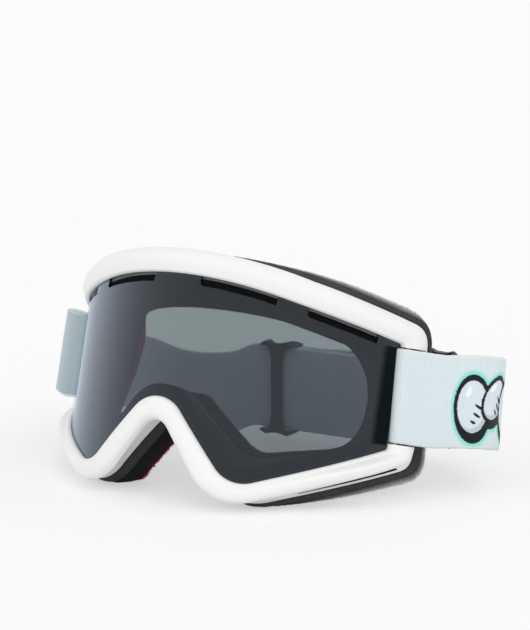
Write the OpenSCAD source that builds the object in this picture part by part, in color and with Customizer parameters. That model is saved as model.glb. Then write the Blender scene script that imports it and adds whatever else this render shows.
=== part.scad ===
// Snowboard goggles: white frame, wide tinted wrap lens, layered face foam,
// and a woven elastic strap with two sliders. Millimetres.
// Goggle axes: X to the viewer's right, Y to the back, Z up. The lens front
// centre is at Y 0 and Z 0 is the middle of the strap. The goggles lie on a
// table leaning back, so everything is tilted and set down at the end.

/* [Lens] */
// Radius of the lens face, a cylinder about an upright axis
lens_r = 90; // [80:1:110]
// Half width of the lens, measured along its face
lens_half = 103.5; // [90:0.5:115]
// Height of the lens top edge at the middle
lens_top = 38.4; // [30:0.2:45]
// Drop of the top edge: z falls by this times the arc squared
lens_drop = 0.00225; // [0.001:0.00005:0.004]
// Lowest point of each lens lobe
lens_low = -45.6; // [-52:0.2:-38]
// Arc position of the lobes
lobe_pos = 41; // [36:0.5:46]
// Radius of each lens lobe
lobe_r = 15; // [10:0.5:20]
// Rise of the lower edge towards the side, in degrees
low_rise = 20.6; // [14:0.2:26]
// Lowest lens point over the nose
nose_z = -14.3; // [-20:0.1:-8]
// Radius of the lens edge over the nose
nose_r = 14.5; // [10:0.5:20]
// Thickness of the outer lens
lens_t = 1.3; // [1:0.1:2]
// Depth of the four vent notches in the top edge
notch_d = 3; // [2:0.1:4]
// Radius of the lower notch corners
notch_r = 1.2; // [0.5:0.1:1.5]
// Thickness of the air gap between the two lenses
air_gap = 2.8; // [2:0.1:4]
// Thickness of the inner lens
inner_t = 0.8; // [0.6:0.1:1.5]
// Width of the spacer between the lenses
gasket_w = 4; // [3:0.2:6]

/* [Frame] */
// Top of the frame at the middle
frame_top = 49; // [45:0.5:55]
// Lowest point of the white rim lobes
frame_low = -54.1; // [-60:0.2:-48]
// Half width of the rim along its front
frame_half = 121; // [112:0.5:128]
// Bottom of the rim over the nose
frame_nose = -24.3; // [-30:0.1:-18]
// Height of the rim crest in front of the lens face
crest_h = 3.9; // [2:0.1:5]
// Depth of the lens groove beyond the visible lens edge
groove_d = 1.6; // [1:0.1:2.5]
// Thickness of the white wall
wall_t = 2.2; // [1.5:0.1:3]
// Depth from the rim front to the face flange
flange_back = 14; // [10:0.5:18]
// Further depth of the flange edge at the temples
temple_back = 8.5; // [7:0.5:10]
// Half height of the strap window in each side
window_half = 20.6; // [20.4:0.1:23]

/* [Face foam] */
// Depth of the face side at the middle, behind the lens front
face_y = 32; // [26:0.5:40]
// Share of the foam depth taken by the firm grey backing
backing_part = 0.3; // [0.15:0.01:0.4]
// Share of the foam depth at which the fleece begins
fleece_part = 0.87; // [0.75:0.01:0.95]
// Step of the foam past the edge of the face opening
foam_in = 1.6; // [0.5:0.1:2.5]
// Further depth of the face side from the middle to the temples
face_depth = 66; // [58:1:72]
// Outward bulge of the foam side
foam_bulge = 1; // [0:0.1:2]
// Widening of the face side towards the cheeks, as a share per millimetre of height
face_flare = 0.0012; // [0:0.0002:0.002]
// Further depth of the inner foam edge at the temples
inner_deep = 18; // [8:1:20]

/* [Strap] */
// Width of the strap
strap_w = 40; // [38:0.5:42]
// Thickness of the woven elastic
strap_t = 1.8; // [1.4:0.1:2.4]
// Radius of the steel pin that holds each strap end
pin_r = 1.25; // [1:0.05:1.6]
// Distance of each pin outside the lens side edge
pin_out = 2.35; // [2:0.05:3]
// Distance of each pin behind the lens side edge
pin_deep = 2.25; // [2:0.05:3]
// Half length of each pin
pin_half = 25; // [23:0.5:27]
// Angle at which the right strap leaves its pin
leave_right = 45; // [20:1:60]
// Angle at which the left strap leaves its pin
leave_left = 60; // [20:1:65]
// Reach of the right side bulge outside its pin
reach_right = 29; // [20:0.5:40]
// Reach of the left side bulge outside its pin
reach_left = 34.5; // [20:0.5:40]
// Distance from the pins back to the strap run behind the head
rear_run = 63.5; // [55:1:75]
// Height of the strap middle at the first slider
rear_z = -1.4; // [-4:0.1:2]
// Height of the strap middle at the second slider
second_z = 3; // [0:0.1:5]

/* [Sliders] */
// X of the first slider
slide_x = -16; // [-22:0.5:-12]
// X of the second slider
second_x = 70; // [64:0.5:76]
// Half length of each slider along the strap
slide_half = 9.4; // [8.8:0.1:12]
// Radius of the slider bars
bar_r = 1.25; // [1:0.05:1.6]
// Distance of the outer bars from the middle of the slider
bar_gap = 7.6; // [7:0.1:8]
// Width of the flat middle bar of the first slider
mid_w = 6.2; // [4:0.2:7]
// Clear space between strap and slider
slide_gap = 0.35; // [0.3:0.05:0.6]

/* [Pose] */
// Angle by which the goggles lean back on the table
lean = 15; // [0:0.5:25]

/* [Hidden] */
$fn = 48;
front_r = lens_r + 3;
face_r = lens_r - 2;
side_a = lens_half * 180 / (PI * lens_r);
pin_x = lens_r * sin(side_a) + pin_out;
pin_y = lens_r * (1 - cos(side_a)) + pin_deep;
bulge_right = pin_x + reach_right;
bulge_left = pin_x + reach_left;
rear_y = pin_y + rear_run;
floor_z = -59.3;
shift_x = (bulge_left - bulge_right) / 2 - 0.06;
shift_y = -56.14;
fit = 0.15;
far = 400;
nt = 18; nc = 4; ns = 4; nl = 8; nb = 10; nf = 4; nn = 8;

// Outline of one W-shaped loop, right half, from the top middle round the side
// to the nose. p = top, drop, straight from, half width, top corner, bottom
// corner, lobe position, lobe low point, lobe radius, rise, nose, nose radius
function mix(a, b, t) = a + (b - a) * t;
function bez(a, c, b, t) = (1 - t) * (1 - t) * a + 2 * t * (1 - t) * c + t * t * b;
function top_z(p, s) = s < p[2] ? p[0] - p[1] * s * s
  : p[0] - p[1] * p[2] * p[2] - 2 * p[1] * p[2] * (s - p[2]);
function unit(v) = v / norm(v);

function half_loop(p) = let(
    w = p[3], a = p[9], lr = p[8], nr = p[11],
    lobe = [p[6], p[7] + lr], nose = [0, p[10] - nr],
    d = lobe - nose, b = asin((lr + nr) / norm(d)) - atan2(d[1], d[0]),
    low_t = lobe + lr * [sin(a), -cos(a)],
    top_c = [w, top_z(p, w)], bot_c = [w, low_t[1] + tan(a) * (w - low_t[0])],
    ta = [w - p[4], top_z(p, w - p[4])], tb = top_c - [0, p[4]],
    ba = bot_c + [0, p[5]], bb = bot_c - p[5] * [cos(a), sin(a)],
    fl_a = lobe - lr * [sin(b), cos(b)], fl_b = nose + nr * [sin(b), cos(b)])
  concat(
    [for (i = [0:nt]) let(s = (w - p[4]) * i / nt) [s, top_z(p, s)]],
    [for (i = [1:nc]) bez(ta, top_c, tb, i / nc)],
    [for (i = [1:ns]) mix(tb, ba, i / ns)],
    [for (i = [1:nc]) bez(ba, bot_c, bb, i / nc)],
    [for (i = [1:nl]) mix(bb, low_t, i / nl)],
    [for (i = [1:nb]) let(q = mix(a, -b, i / nb)) lobe + lr * [sin(q), -cos(q)]],
    [for (i = [1:nf]) mix(fl_a, fl_b, i / nf)],
    [for (i = [1:nn]) let(q = mix(b, 0, i / nn)) nose + nr * [sin(q), cos(q)]]);

n_half = nt + 2 * nc + ns + nl + nb + nf + nn;
function whole(h) = concat(h, [for (i = [n_half - 1:-1:1]) [-h[i][0], h[i][1]]]);

// The loops: visible lens edge, white rim, face flange and foam edges
lens_p = [lens_top, lens_drop, 46, lens_half, 1.5, 1.5, lobe_pos, lens_low, lobe_r,
  low_rise, nose_z, nose_r];
rim_p = [frame_top, 0.00186, 62, frame_half, 8, 7, 40, frame_low, 25, 19.5,
  frame_nose, 8.5];
flange_p = [frame_top - 1.5, 0.00168, 70, frame_half - 10.2, 8, 6, lobe_pos,
  frame_low + 0.7, 22, 19.9, frame_nose + 1.1, 9];
port_p = [29.5, 0.0018, 60, 81, 22, 16, lobe_pos, -34.5, 12, 14, -9, 13];
foam_ro = [49.3, 0.00095, 75, 113.3, 16, 12, lobe_pos - 5, -54, 16, 13.2, -25, 9];
foam_ri = [27, 0.0016, 50, 73, 18, 16, lobe_pos - 9, -32, 9, 12, -11, 10];

lens_l = whole(half_loop(lens_p));
rim_l = whole(half_loop(rim_p));
n_loop = len(lens_l);

// Points on the three curved surfaces
function on_lens(a, z, h) = [(lens_r + h) * sin(a), lens_r - (lens_r + h) * cos(a), z];
function deg_of(s, r) = s * 180 / (PI * r);
function on_flange(s, z) = let(a = deg_of(s, front_r))
  [front_r * sin(a), flange_back - 3 + front_r * (1 - cos(a)), z];
function on_face(s, z) = let(a = deg_of(s * (1 - face_flare * z), face_r))
  [face_r * sin(a), face_y + face_depth * (1 - cos(a)), z];

// Frame section points: e runs from the lens edge (0) to the rim edge (1), h is
// the height over the lens face; step() moves from the lens edge in millimetres
function rim_pt(i, e, h) = let(la = deg_of(lens_l[i][0], lens_r),
    ra = deg_of(rim_l[i][0], front_r))
  on_lens(mix(la, ra, e), mix(lens_l[i][1], rim_l[i][1], e), h);
function rim_len(i) = let(ds = rim_l[i][0] * lens_r / front_r - lens_l[i][0],
    dz = rim_l[i][1] - lens_l[i][1]) sqrt(ds * ds + dz * dz);
function out_dir(i) = let(t = unit(lens_l[(i + 1) % n_loop]
    - lens_l[(i + n_loop - 1) % n_loop])) [-t[1], t[0]];
function step_pt(i, d, h) = let(q = lens_l[i] + d * out_dir(i))
  on_lens(deg_of(q[0], lens_r), q[1], h);
flange_l = [for (q = whole(half_loop(flange_p))) on_flange(q[0], q[1])];
port_l = [for (q = whole(half_loop(port_p))) on_flange(q[0], q[1])
  + [0, temple_back * pow(abs(q[0]) / port_p[3], 4), 0]];
function flange_pt(i, d, back) = let(f = flange_l[i], v = port_l[i] - f)
  f + v * (d / norm(v)) + [0, back, 0];
function wall_pt(i, t, d, out) = let(o = rim_pt(i, 1 - d / rim_len(i), -1),
    f = flange_pt(i, d, 0)) mix(o, f, t) + out * unit(rim_pt(i, 1, 0) - port_l[i]);

// Two triangles over four points, split along the shorter diagonal
function quad(p, a, b, c, d) = norm(p[a] - p[c]) < norm(p[b] - p[d])
  ? [[a, b, c], [a, c, d]] : [[a, b, d], [b, c, d]];
function side_faces(p, n, m, last) = [for (i = [0:last]) for (j = [0:m - 1])
  let(k = (i + 1) % n) each quad(p, i * m + j, i * m + (j + 1) % m,
    k * m + (j + 1) % m, k * m + j)];
// Ring through one closed section per station
module ring(rows) {
  n = len(rows); m = len(rows[0]);
  pts = [for (r = rows) for (q = r) q];
  polyhedron(points = pts, faces = side_faces(pts, n, m, n - 1), convexity = 8);
}
// The same with two flat ends
module strip(rows) {
  n = len(rows); m = len(rows[0]);
  pts = [for (r = rows) for (q = r) q];
  polyhedron(points = pts, faces = concat([[for (j = [m - 1:-1:0]) j]],
    [[for (j = [0:m - 1]) (n - 1) * m + j]], side_faces(pts, n, m, n - 2)), convexity = 8);
}

module both_sides() { children(); mirror([1, 0, 0]) children(); }

// White frame
module shell_ring() {
  ring([for (i = [0:n_loop - 1]) [
    step_pt(i, 0, fit), step_pt(i, 0, 1.1), step_pt(i, 1.1, 2.3),
    rim_pt(i, 0.42, crest_h), rim_pt(i, 0.76, crest_h - 0.6),
    rim_pt(i, 0.96, 1.2), rim_pt(i, 1, -1.2),
    wall_pt(i, 0.5, 0, -0.5), flange_pt(i, 0, 0),
    flange_pt(i, wall_t, 0), wall_pt(i, 0.5, wall_t, -0.5),
    step_pt(i, groove_d, -lens_t - 1.8), step_pt(i, groove_d, fit)]]);
}
// Station range of the lower edge on the right, where the long vent lies
slot_a = nt + 2 * nc + ns; slot_b = slot_a + nl - 2;
module slot_cut(d0, d1, grow) {
  strip([for (i = [slot_a:slot_b]) let(
      q = (i - slot_a) / (slot_b - slot_a), t0 = mix(0.24, 0.5, q) - grow,
      t1 = 0.8 + grow)
    [wall_pt(i, t0, d0, -0.5), wall_pt(i, t1, d0, -0.3), wall_pt(i, t1, d1, -0.3),
      wall_pt(i, t0, d1, -0.5)]]);
}
module strap_window() {
  translate([0, 0, -window_half]) linear_extrude(2 * window_half)
    polygon([[pin_x - 5, pin_y - 6], [pin_x + 6, pin_y - 6], [pin_x + 14, pin_y + 9.2],
      [pin_x - 1, pin_y + 9.2], [pin_x - 3.2, pin_y + 3.2], [pin_x - 3.5, pin_y - 2.8]]);
}
module pin_shape(r, half) {
  translate([pin_x, pin_y, -half]) cylinder(r = r, h = 2 * half);
}
module frame_shell() {
  color([0.95, 0.95, 0.94]) posed() difference() {
    shell_ring();
    both_sides() {
      slot_cut(-2.5, wall_t + 1.2, 0);
      strap_window();
      pin_shape(pin_r + 0.05, pin_half + 0.1);
    }
  }
}

// Black inner frame: ledge behind the lens, wall and face flange
module inner_ring() {
  in_d = wall_t + 0.3;
  ring([for (i = [0:n_loop - 1]) [
    step_pt(i, -1, -lens_t - fit), step_pt(i, groove_d - 0.3, -lens_t - fit),
    step_pt(i, groove_d - 0.3, -lens_t - 2.1), wall_pt(i, 0.5, in_d, -0.8),
    flange_pt(i, in_d, 0), port_l[i], port_l[i] - [0, 1.8, 0],
    flange_pt(i, in_d + 1.8, -1.8), wall_pt(i, 0.5, in_d + 1.8, -1.2),
    step_pt(i, -1, -lens_t - 2.4)]]);
}
module inner_frame() {
  color([0.09, 0.09, 0.1]) posed() difference() {
    inner_ring();
    both_sides() {
      pin_shape(pin_r + strap_t + 0.5, window_half);
      pin_shape(pin_r + 0.3, pin_half + 0.3);
    }
  }
}

// Curved sheet between two radii inside a loop outline, cut square at its sides
module shell_of(h0, h1) {
  translate([0, lens_r, -far / 4]) difference() {
    cylinder(r = lens_r + h1, h = far / 2, $fn = 96);
    translate([0, 0, -1]) cylinder(r = lens_r + h0, h = far / 2 + 2, $fn = 96);
  }
}
module cut_of(h0, h1, pts) {
  rm = lens_r + (h0 + h1) / 2;
  translate([0, lens_r - 20, 0]) rotate([90, 0, 0]) linear_extrude(lens_r)
    polygon([for (q = pts) [rm * sin(deg_of(q[0], lens_r)), q[1]]]);
}
module fan(w) {
  a = deg_of(w, lens_r);
  translate([0, lens_r, -far / 4]) linear_extrude(far / 2)
    polygon([[0, 0], far / 2 * [-sin(a), -cos(a)], [-far, -far], [far, -far],
      far / 2 * [sin(a), -cos(a)]]);
}
function wide(p) = [p[0], p[1], p[2], p[3] + 12, 1, 1, p[6], p[7], p[8], p[9], p[10],
  p[11]];
module sheet(h0, h1, p, w) {
  intersection() {
    shell_of(h0, h1);
    cut_of(h0, h1, sample(wide(p)));
    fan(w);
  }
}
function grown(p, g) = [p[0] + g, p[1], p[2], p[3], p[4], p[5], p[6], p[7] - g,
  p[8] + g, p[9], p[10] - g, p[11] - g];
function sample(p) = whole(half_loop(p));
module notch(s0, s1) {
  n = 10;
  arc = [for (q = [0:3]) notch_r * (1 - cos(30 * q)) ];
  drop = [for (q = [0:3]) notch_r * (1 - sin(30 * q)) ];
  low = concat([for (q = [0:3]) [s0 + arc[q], drop[q]]],
    [for (i = [1:n - 1]) [mix(s0, s1, i / n), 0]],
    [for (q = [3:-1:0]) [s1 - arc[q], drop[q]]]);
  path = concat([for (v = low) [v[0], top_z(lens_p, v[0]) - notch_d + v[1]]],
    [[s1, top_z(lens_p, s1) + 6], [s0, top_z(lens_p, s0) + 6]]);
  translate([0, lens_r - 20, 0]) rotate([90, 0, 0]) linear_extrude(lens_r)
    polygon([for (v = path) [lens_r * sin(deg_of(v[0], lens_r)), v[1]]]);
}
module lens_outer() {
  color([0.2, 0.22, 0.25, 0.8]) posed() difference() {
    sheet(-lens_t, 0, grown(lens_p, groove_d - 0.4), lens_half - 0.5);
    both_sides() { notch(12, 46); notch(lens_half - 44, lens_half - 12); }
    both_sides() pin_shape(pin_r + strap_t + 0.25, window_half);
  }
}
gasket_p = [lens_top - 5, lens_drop, 46, lens_half - 1.9, 4, 4, lobe_pos,
  lens_low + 1.6, lobe_r - 1.6, low_rise, nose_z + 1.5, nose_r + 1.5];
module lens_gasket() {
  color([0.06, 0.06, 0.06]) posed() difference() {
    sheet(-lens_t - air_gap, -lens_t - 0.02, gasket_p, gasket_p[3]);
    sheet(-lens_t - air_gap - 1, -lens_t + 1, slimmer(gasket_p, gasket_w),
      gasket_p[3] - gasket_w);
  }
}
function slimmer(p, g) = [p[0] - g, p[1], p[2], p[3] - g, p[4] + 1, p[5] + 1, p[6],
  p[7] + g, p[8] - g, p[9], p[10] + g, p[11] + g];
module lens_inner() {
  color([0.7, 0.72, 0.75, 0.4]) posed()
    sheet(-lens_t - air_gap - inner_t, -lens_t - air_gap - 0.02,
      slimmer(gasket_p, 0.5), gasket_p[3] - 0.5);
}

// Open-cell vent foam behind the notches and in the lower slots
module vent_top() {
  last = lens_half - 9.5;
  pts = concat([for (i = [0:14]) let(s = mix(9, last, i / 14)) [s, top_z(lens_p, s) - 1.4]],
    [for (i = [14:-1:0]) let(s = mix(9, last, i / 14)) [s, top_z(lens_p, s) - 4.7]]);
  color([0.05, 0.05, 0.05]) intersection() {
    shell_of(-lens_t - 2.4, -lens_t - 0.1);
    cut_of(-lens_t - 2.4, -lens_t - 0.1, pts);
  }
}
module vent_foam_top_right() { posed() vent_top(); }
module vent_foam_top_left() { posed() mirror([1, 0, 0]) vent_top(); }
module vent_low() { color([0.05, 0.05, 0.05]) slot_cut(0.5, wall_t - 0.1, -0.035); }
module vent_foam_lower_right() { posed() vent_low(); }
module vent_foam_lower_left() { posed() mirror([1, 0, 0]) vent_low(); }

// Face foam in three layers between the flange and the face side
function at_nose(i) = port_l[i][2] < 0 ? exp(-pow(port_l[i][0] / 20, 2)) : 0;
foam_f_out = [for (i = [0:n_loop - 1]) flange_pt(i, -0.4, 0.3)];
foam_f_in = [for (i = [0:n_loop - 1]) flange_pt(i, norm(port_l[i] - flange_l[i])
  + mix(foam_in, -1.5, at_nose(i)), 0.3)];
foam_r_out = [for (q = sample(foam_ro)) on_face(q[0], q[1])];
foam_r_in = [for (q = sample(foam_ri)) on_face(q[0], q[1])
  + [0, (inner_deep + 0.28 * q[1]) * pow(q[0] / foam_ri[3], 4), 0]];
function foam_out(i, t) = mix(foam_f_out[i], foam_r_out[i], t)
  + foam_bulge * 4 * t * (1 - t) * unit(foam_f_out[i] - foam_f_in[i]);
function foam_inner(i, t) = mix(foam_f_in[i], foam_r_in[i], t);
module foam_layer(t0, t1, edge) {
  difference() {
    ring([for (i = [0:n_loop - 1]) let(
        oa = foam_out(i, t0), ob = foam_out(i, t1), ia = foam_inner(i, t0),
        ib = foam_inner(i, t1), w = unit(ib - ob), d = unit(ob - oa))
      edge > 0 ? [oa, ob - d * edge, ob + w * edge, ib - w * edge, ib - d * edge, ia]
        : [oa, foam_out(i, (t0 + t1) / 2), ob, ib, ia]]);
    below_floor();
  }
}
module foam_backing() { color([0.25, 0.25, 0.26]) posed() foam_layer(0, backing_part, 0); }
module foam_core() {
  color([0.07, 0.07, 0.08]) posed() foam_layer(backing_part + 0.003, fleece_part - 0.003, 0);
}
module foam_fleece() { color([0.5, 0.1, 0.25]) posed() foam_layer(fleece_part, 1, 1.1); }

// Steel pins in the frame sides
module pin() { color([0.6, 0.5, 0.35]) pin_shape(pin_r, pin_half); }
module strap_pin_right() { posed() pin(); }
module strap_pin_left() { posed() mirror([1, 0, 0]) pin(); }

// Folded strap end round a bar, leaving along +X of its own frame; the outer
// layer lies on the -Y side and the fold is sewn flat past the join
module fold_2d(r, join, end) {
  difference() {
    union() {
      circle(r = r + strap_t);
      polygon([[0, -r - strap_t], [join, -strap_t], [end, -strap_t], [end, strap_t],
        [join, strap_t], [0, r + strap_t]]);
    }
    circle(r = r);
    polygon([[0, -r], [join - 1, -0.05], [join - 1, 0.05], [0, r]]);
  }
}
loop_end = 16;
fold_col = [0.78, 0.85, 0.87];
module pin_loop(ang) {
  color(fold_col) translate([pin_x, pin_y, -strap_w / 2]) rotate([0, 0, 90 - ang])
    linear_extrude(strap_w) fold_2d(pin_r + 0.1, 9, loop_end);
}
module strap_loop_right() { posed() pin_loop(leave_right); }
module strap_loop_left() { posed() mirror([1, 0, 0]) pin_loop(leave_left); }

// Smooth path through the plan points, each [x, y, strap middle height]
function cr(a, b, c, d, t) = 0.5 * ((2 * b) + (c - a) * t
  + (2 * a - 5 * b + 4 * c - d) * t * t + (3 * b - a - 3 * c + d) * t * t * t);
function path(p, k) = let(m = len(p) - 1) concat([for (i = [0:m - 1]) for (j = [0:k - 1])
    cr(p[max(i - 1, 0)], p[i], p[i + 1], p[min(i + 2, m)], j / k)], [p[m]]);
function dir(p, i) = unit(p[min(i + 1, len(p) - 1)] - p[max(i - 1, 0)]);
// The strap leans with the frame at its sides and stands upright behind the head
function up(y) = let(w = lean * min(max((y - rear_y + 35) / 26, 0), 1)) [0, -sin(w), cos(w)];
function stood(p) = let(a = p[1] - rear_y, b = p[2] - rear_z)
  [p[0], rear_y + a * cos(lean) - b * sin(lean), rear_z + a * sin(lean) + b * cos(lean)];
module upright() {
  posed() translate([0, rear_y, rear_z]) rotate([lean, 0, 0]) translate([0, -rear_y, -rear_z])
    children();
}
module ribbon(p) {
  n = len(p);
  rows = [for (i = [0:n - 1]) let(u = up(p[i][1]), v = unit(cross(dir(p, i), u)) * strap_t / 2,
      h = u * strap_w / 2, q = p[i])
    [q + v - h, q + v + h, q - v + h, q - v - h]];
  polyhedron(points = [for (r = rows) for (q = r) q],
    faces = concat([[3, 2, 1, 0]], [[for (j = [0:3]) (n - 1) * 4 + j]],
      [for (i = [0:n - 2]) let(a = i * 4, b = a + 4) each [
        [a, a + 1, b + 1], [a, b + 1, b], [a + 2, a + 3, b + 3], [a + 2, b + 3, b + 2],
        [a + 1, a + 2, b + 2], [a + 1, b + 2, b + 1],
        [a + 3, a, b], [a + 3, b, b + 3]]]), convexity = 6);
}
function leave(ang, d) = [pin_x + d * sin(ang) + strap_t / 2 * cos(ang),
  pin_y + d * cos(ang) - strap_t / 2 * sin(ang)];
fold_b_ang = 108;
fold_b_end = 10;
bar_b_out = [second_x + 6, rear_y];
function fold_b_tip(d) = [bar_b_out[0] + d * sin(fold_b_ang) + strap_t / 2 * cos(fold_b_ang),
  bar_b_out[1] + d * cos(fold_b_ang) - strap_t / 2 * sin(fold_b_ang)];
function at(p, z) = [p[0], p[1], z];

left_end = bulge_left - 27;
right_path = path([at(leave(leave_right, loop_end + 0.1), 0),
  at(leave(leave_right, loop_end + 5), 0.8), [bulge_right - 5, pin_y + 21.5, 2.2],
  [bulge_right - 1.4, pin_y + 27.5, 2.7], [bulge_right - strap_t / 2, pin_y + 34.5, 3],
  [bulge_right - 2.6, rear_y - 22, 3], [bulge_right - 8.6, rear_y - 15.4, 2.8],
  [bulge_right - 18, rear_y - 9.9, 2.3], stood(at(fold_b_tip(fold_b_end + 4), second_z)),
  stood(at(fold_b_tip(fold_b_end + 0.3), second_z))], 3);
left_path = path([at(leave(leave_left, loop_end + 0.1), 0),
  at(leave(leave_left, loop_end + 5), 0.8), [bulge_left - 8.6, pin_y + 16.1, 2],
  [bulge_left - 2.6, pin_y + 23.5, 2.6], [bulge_left - strap_t / 2, pin_y + 31.5, 3],
  [bulge_left - 2.8, rear_y - 24.4, 2.6], [bulge_left - 9.6, rear_y - 17.6, 1.3],
  [bulge_left - 18, rear_y - 12.1, -0.8], stood([left_end + 0.3, rear_y - 8.3, -2])], 3);
module strap_side_right() { color(fold_col) posed() ribbon(right_path); }
module strap_side_left() {
  color(fold_col) posed() mirror([1, 0, 0]) ribbon(left_path);
}

// Rear strap: from the left side past slider A, round the bar of slider B
dip_y = rear_y - 1.2;
dip_z = (floor_z + rear_y * sin(lean)) + rear_z * (1 - cos(lean)) + strap_w / 2 - 0.1;
turn_r = 2.6;
turn_c = [second_x - 6, rear_y + turn_r];
rear_plan = concat(path([[-left_end, rear_y - 8.15, -2.1], [8 - left_end, rear_y - 5.3, dip_z + 5],
    [18 - left_end, rear_y - 2.8, dip_z + 1.4], [30 - left_end, dip_y, dip_z],
    [42 - left_end, rear_y - 0.3, dip_z + 3.4], [-39, rear_y, rear_z - 1],
    [-32, rear_y, rear_z], [-20, rear_y, rear_z]], 3),
  [[10, rear_y, rear_z], [36, rear_y, rear_z], [42, rear_y, mix(rear_z, second_z, 0.16)],
    [48, rear_y, mix(rear_z, second_z, 0.5)], [54, rear_y, mix(rear_z, second_z, 0.84)],
    [60, rear_y, second_z]],
  [for (i = [0:8]) let(a = -90 + 22.5 * i)
    [turn_c[0] + turn_r * cos(a), turn_c[1] + turn_r * sin(a), second_z]],
  [[60, rear_y + 2 * turn_r, second_z]]);
rear_path = [for (q = rear_plan) stood(q)];
module strap_rear() {
  color(fold_col) posed() difference() { ribbon(rear_path); below_floor(); }
}

// Sewn strap end on slider A and the return layer back to slider B
out_y = 4.3;
bar_a = [slide_x + bar_gap, rear_y + out_y];
fold_a_end = 9;
module strap_fold_a() {
  color(fold_col) upright() translate([bar_a[0], bar_a[1], rear_z - strap_w / 2])
    linear_extrude(strap_w) fold_2d(bar_r + 0.1, 6, fold_a_end);
}
return_path = path([[bar_a[0] + fold_a_end + 0.3, bar_a[1] + strap_t / 2, rear_z],
  [bar_a[0] + fold_a_end + 6, bar_a[1] + 1.8, rear_z], [14, rear_y + 8.2, rear_z],
  [30, rear_y + 8.6, rear_z + 0.6], [44, rear_y + 7.4, rear_z + 2.4],
  [54, rear_y + 2 * turn_r + 0.5, second_z], [59.7, rear_y + 2 * turn_r, second_z]], 3);
module strap_return() {
  color(fold_col) posed() ribbon([for (q = return_path) stood(q)]);
}
module strap_fold_b() {
  color(fold_col) upright() translate([bar_b_out[0], bar_b_out[1], second_z - strap_w / 2])
    rotate([0, 0, 90 - fold_b_ang]) linear_extrude(strap_w)
      fold_2d(bar_r + 0.1, 6, fold_b_end);
}

// Sliders: bars joined by two curved end rails with raised tips
rail_z = strap_w / 2 + slide_gap;
mid_y = -strap_t / 2 - slide_gap - bar_r;
function arch_y(x) = mid_y + (out_y - mid_y) * pow(x / bar_gap, 2);
module rail_2d(w) {
  n = 12;
  xs = [for (i = [-n:n]) slide_half * i / n];
  polygon(concat([for (x = xs) [x, min(arch_y(x), out_y + 1.2) + w]],
    [for (i = [2 * n:-1:0]) [xs[i], min(arch_y(xs[i]), out_y + 1.2) - w]]));
}
module rail_side() {
  polygon([[-slide_half, 0], [slide_half, 0], [slide_half - 0.3, 1.4], [slide_half - 1.7, 2.9],
    [slide_half - 3.2, 2.7], [3.4, 1.6], [-3.4, 1.6], [-slide_half + 3.2, 2.7],
    [-slide_half + 1.7, 2.9], [-slide_half + 0.3, 1.4]]);
}
module rail() {
  intersection() {
    translate([0, 0, -1]) linear_extrude(8) rail_2d(1.25);
    translate([0, 20, 0]) rotate([90, 0, 0]) linear_extrude(40) rail_side();
  }
}
module slider_a() {
  color([0.06, 0.06, 0.07]) upright() translate([slide_x, rear_y, rear_z]) {
    for (s = [0, 1]) mirror([0, 0, s]) translate([0, 0, rail_z]) rail();
    for (s = [-1, 1]) translate([s * bar_gap, out_y, -rail_z - 0.8])
      cylinder(r = bar_r, h = 2 * rail_z + 1.6);
    translate([0, mid_y, -rail_z - 0.8]) linear_extrude(2 * rail_z + 1.6) {
      for (s = [-1, 1]) translate([s * (mid_w / 2 - bar_r), 0]) circle(r = bar_r);
      square([mid_w - 2 * bar_r, 2 * bar_r], center = true);
    }
  }
}
module rail_b_2d() {
  circle(r = 2.1);
  translate([12, -turn_r]) circle(r = 2.1);
  polygon([[-0.4, 2.06], [12.44, -0.55], [12.3, -4.65], [-0.5, -2.04]]);
}
module slider_b() {
  color([0.06, 0.06, 0.07]) upright() translate([turn_c[0], turn_c[1], second_z]) {
    for (s = [0, 1]) mirror([0, 0, s]) translate([0, 0, rail_z]) intersection() {
      linear_extrude(3.2) rail_b_2d();
      translate([6, 20, 0]) rotate([90, 0, 0]) linear_extrude(40)
        polygon([[-8.2, 0], [8.2, 0], [8, 1.4], [5.6, 2.5], [3, 2.2], [0, 1.4], [-3, 2.2],
          [-5.6, 2.5], [-8, 1.4]]);
    }
    translate([0, 0, -rail_z - 0.8]) cylinder(r = bar_r, h = 2 * rail_z + 1.6);
    translate([12, -turn_r, -rail_z - 0.8]) cylinder(r = bar_r, h = 2 * rail_z + 1.6);
  }
}

// Pose on the table
module below_floor() {
  rotate([lean, 0, 0]) translate([-far / 2, -far / 2, floor_z - far])
    cube([far, far, far]);
}
module posed() {
  translate([shift_x, shift_y, -floor_z]) rotate([-lean, 0, 0]) children();
}

frame_shell();
inner_frame();
lens_outer();
lens_gasket();
lens_inner();
vent_foam_top_left();
vent_foam_top_right();
vent_foam_lower_left();
vent_foam_lower_right();
foam_backing();
foam_core();
foam_fleece();
strap_pin_left();
strap_pin_right();
strap_loop_left();
strap_loop_right();
strap_side_left();
strap_side_right();
strap_rear();
strap_return();
strap_fold_a();
strap_fold_b();
slider_a();
slider_b();
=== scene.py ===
"""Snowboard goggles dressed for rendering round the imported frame.

The loops and paths repeat part.scad's sizes in millimetres, in the goggle axes (X right, Y back, Z up);
posed() leans them back, sets them on the table and turns them into the row frame in metres.
"""

import math

import bmesh
import bpy
import numpy as np
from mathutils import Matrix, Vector, noise


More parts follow.
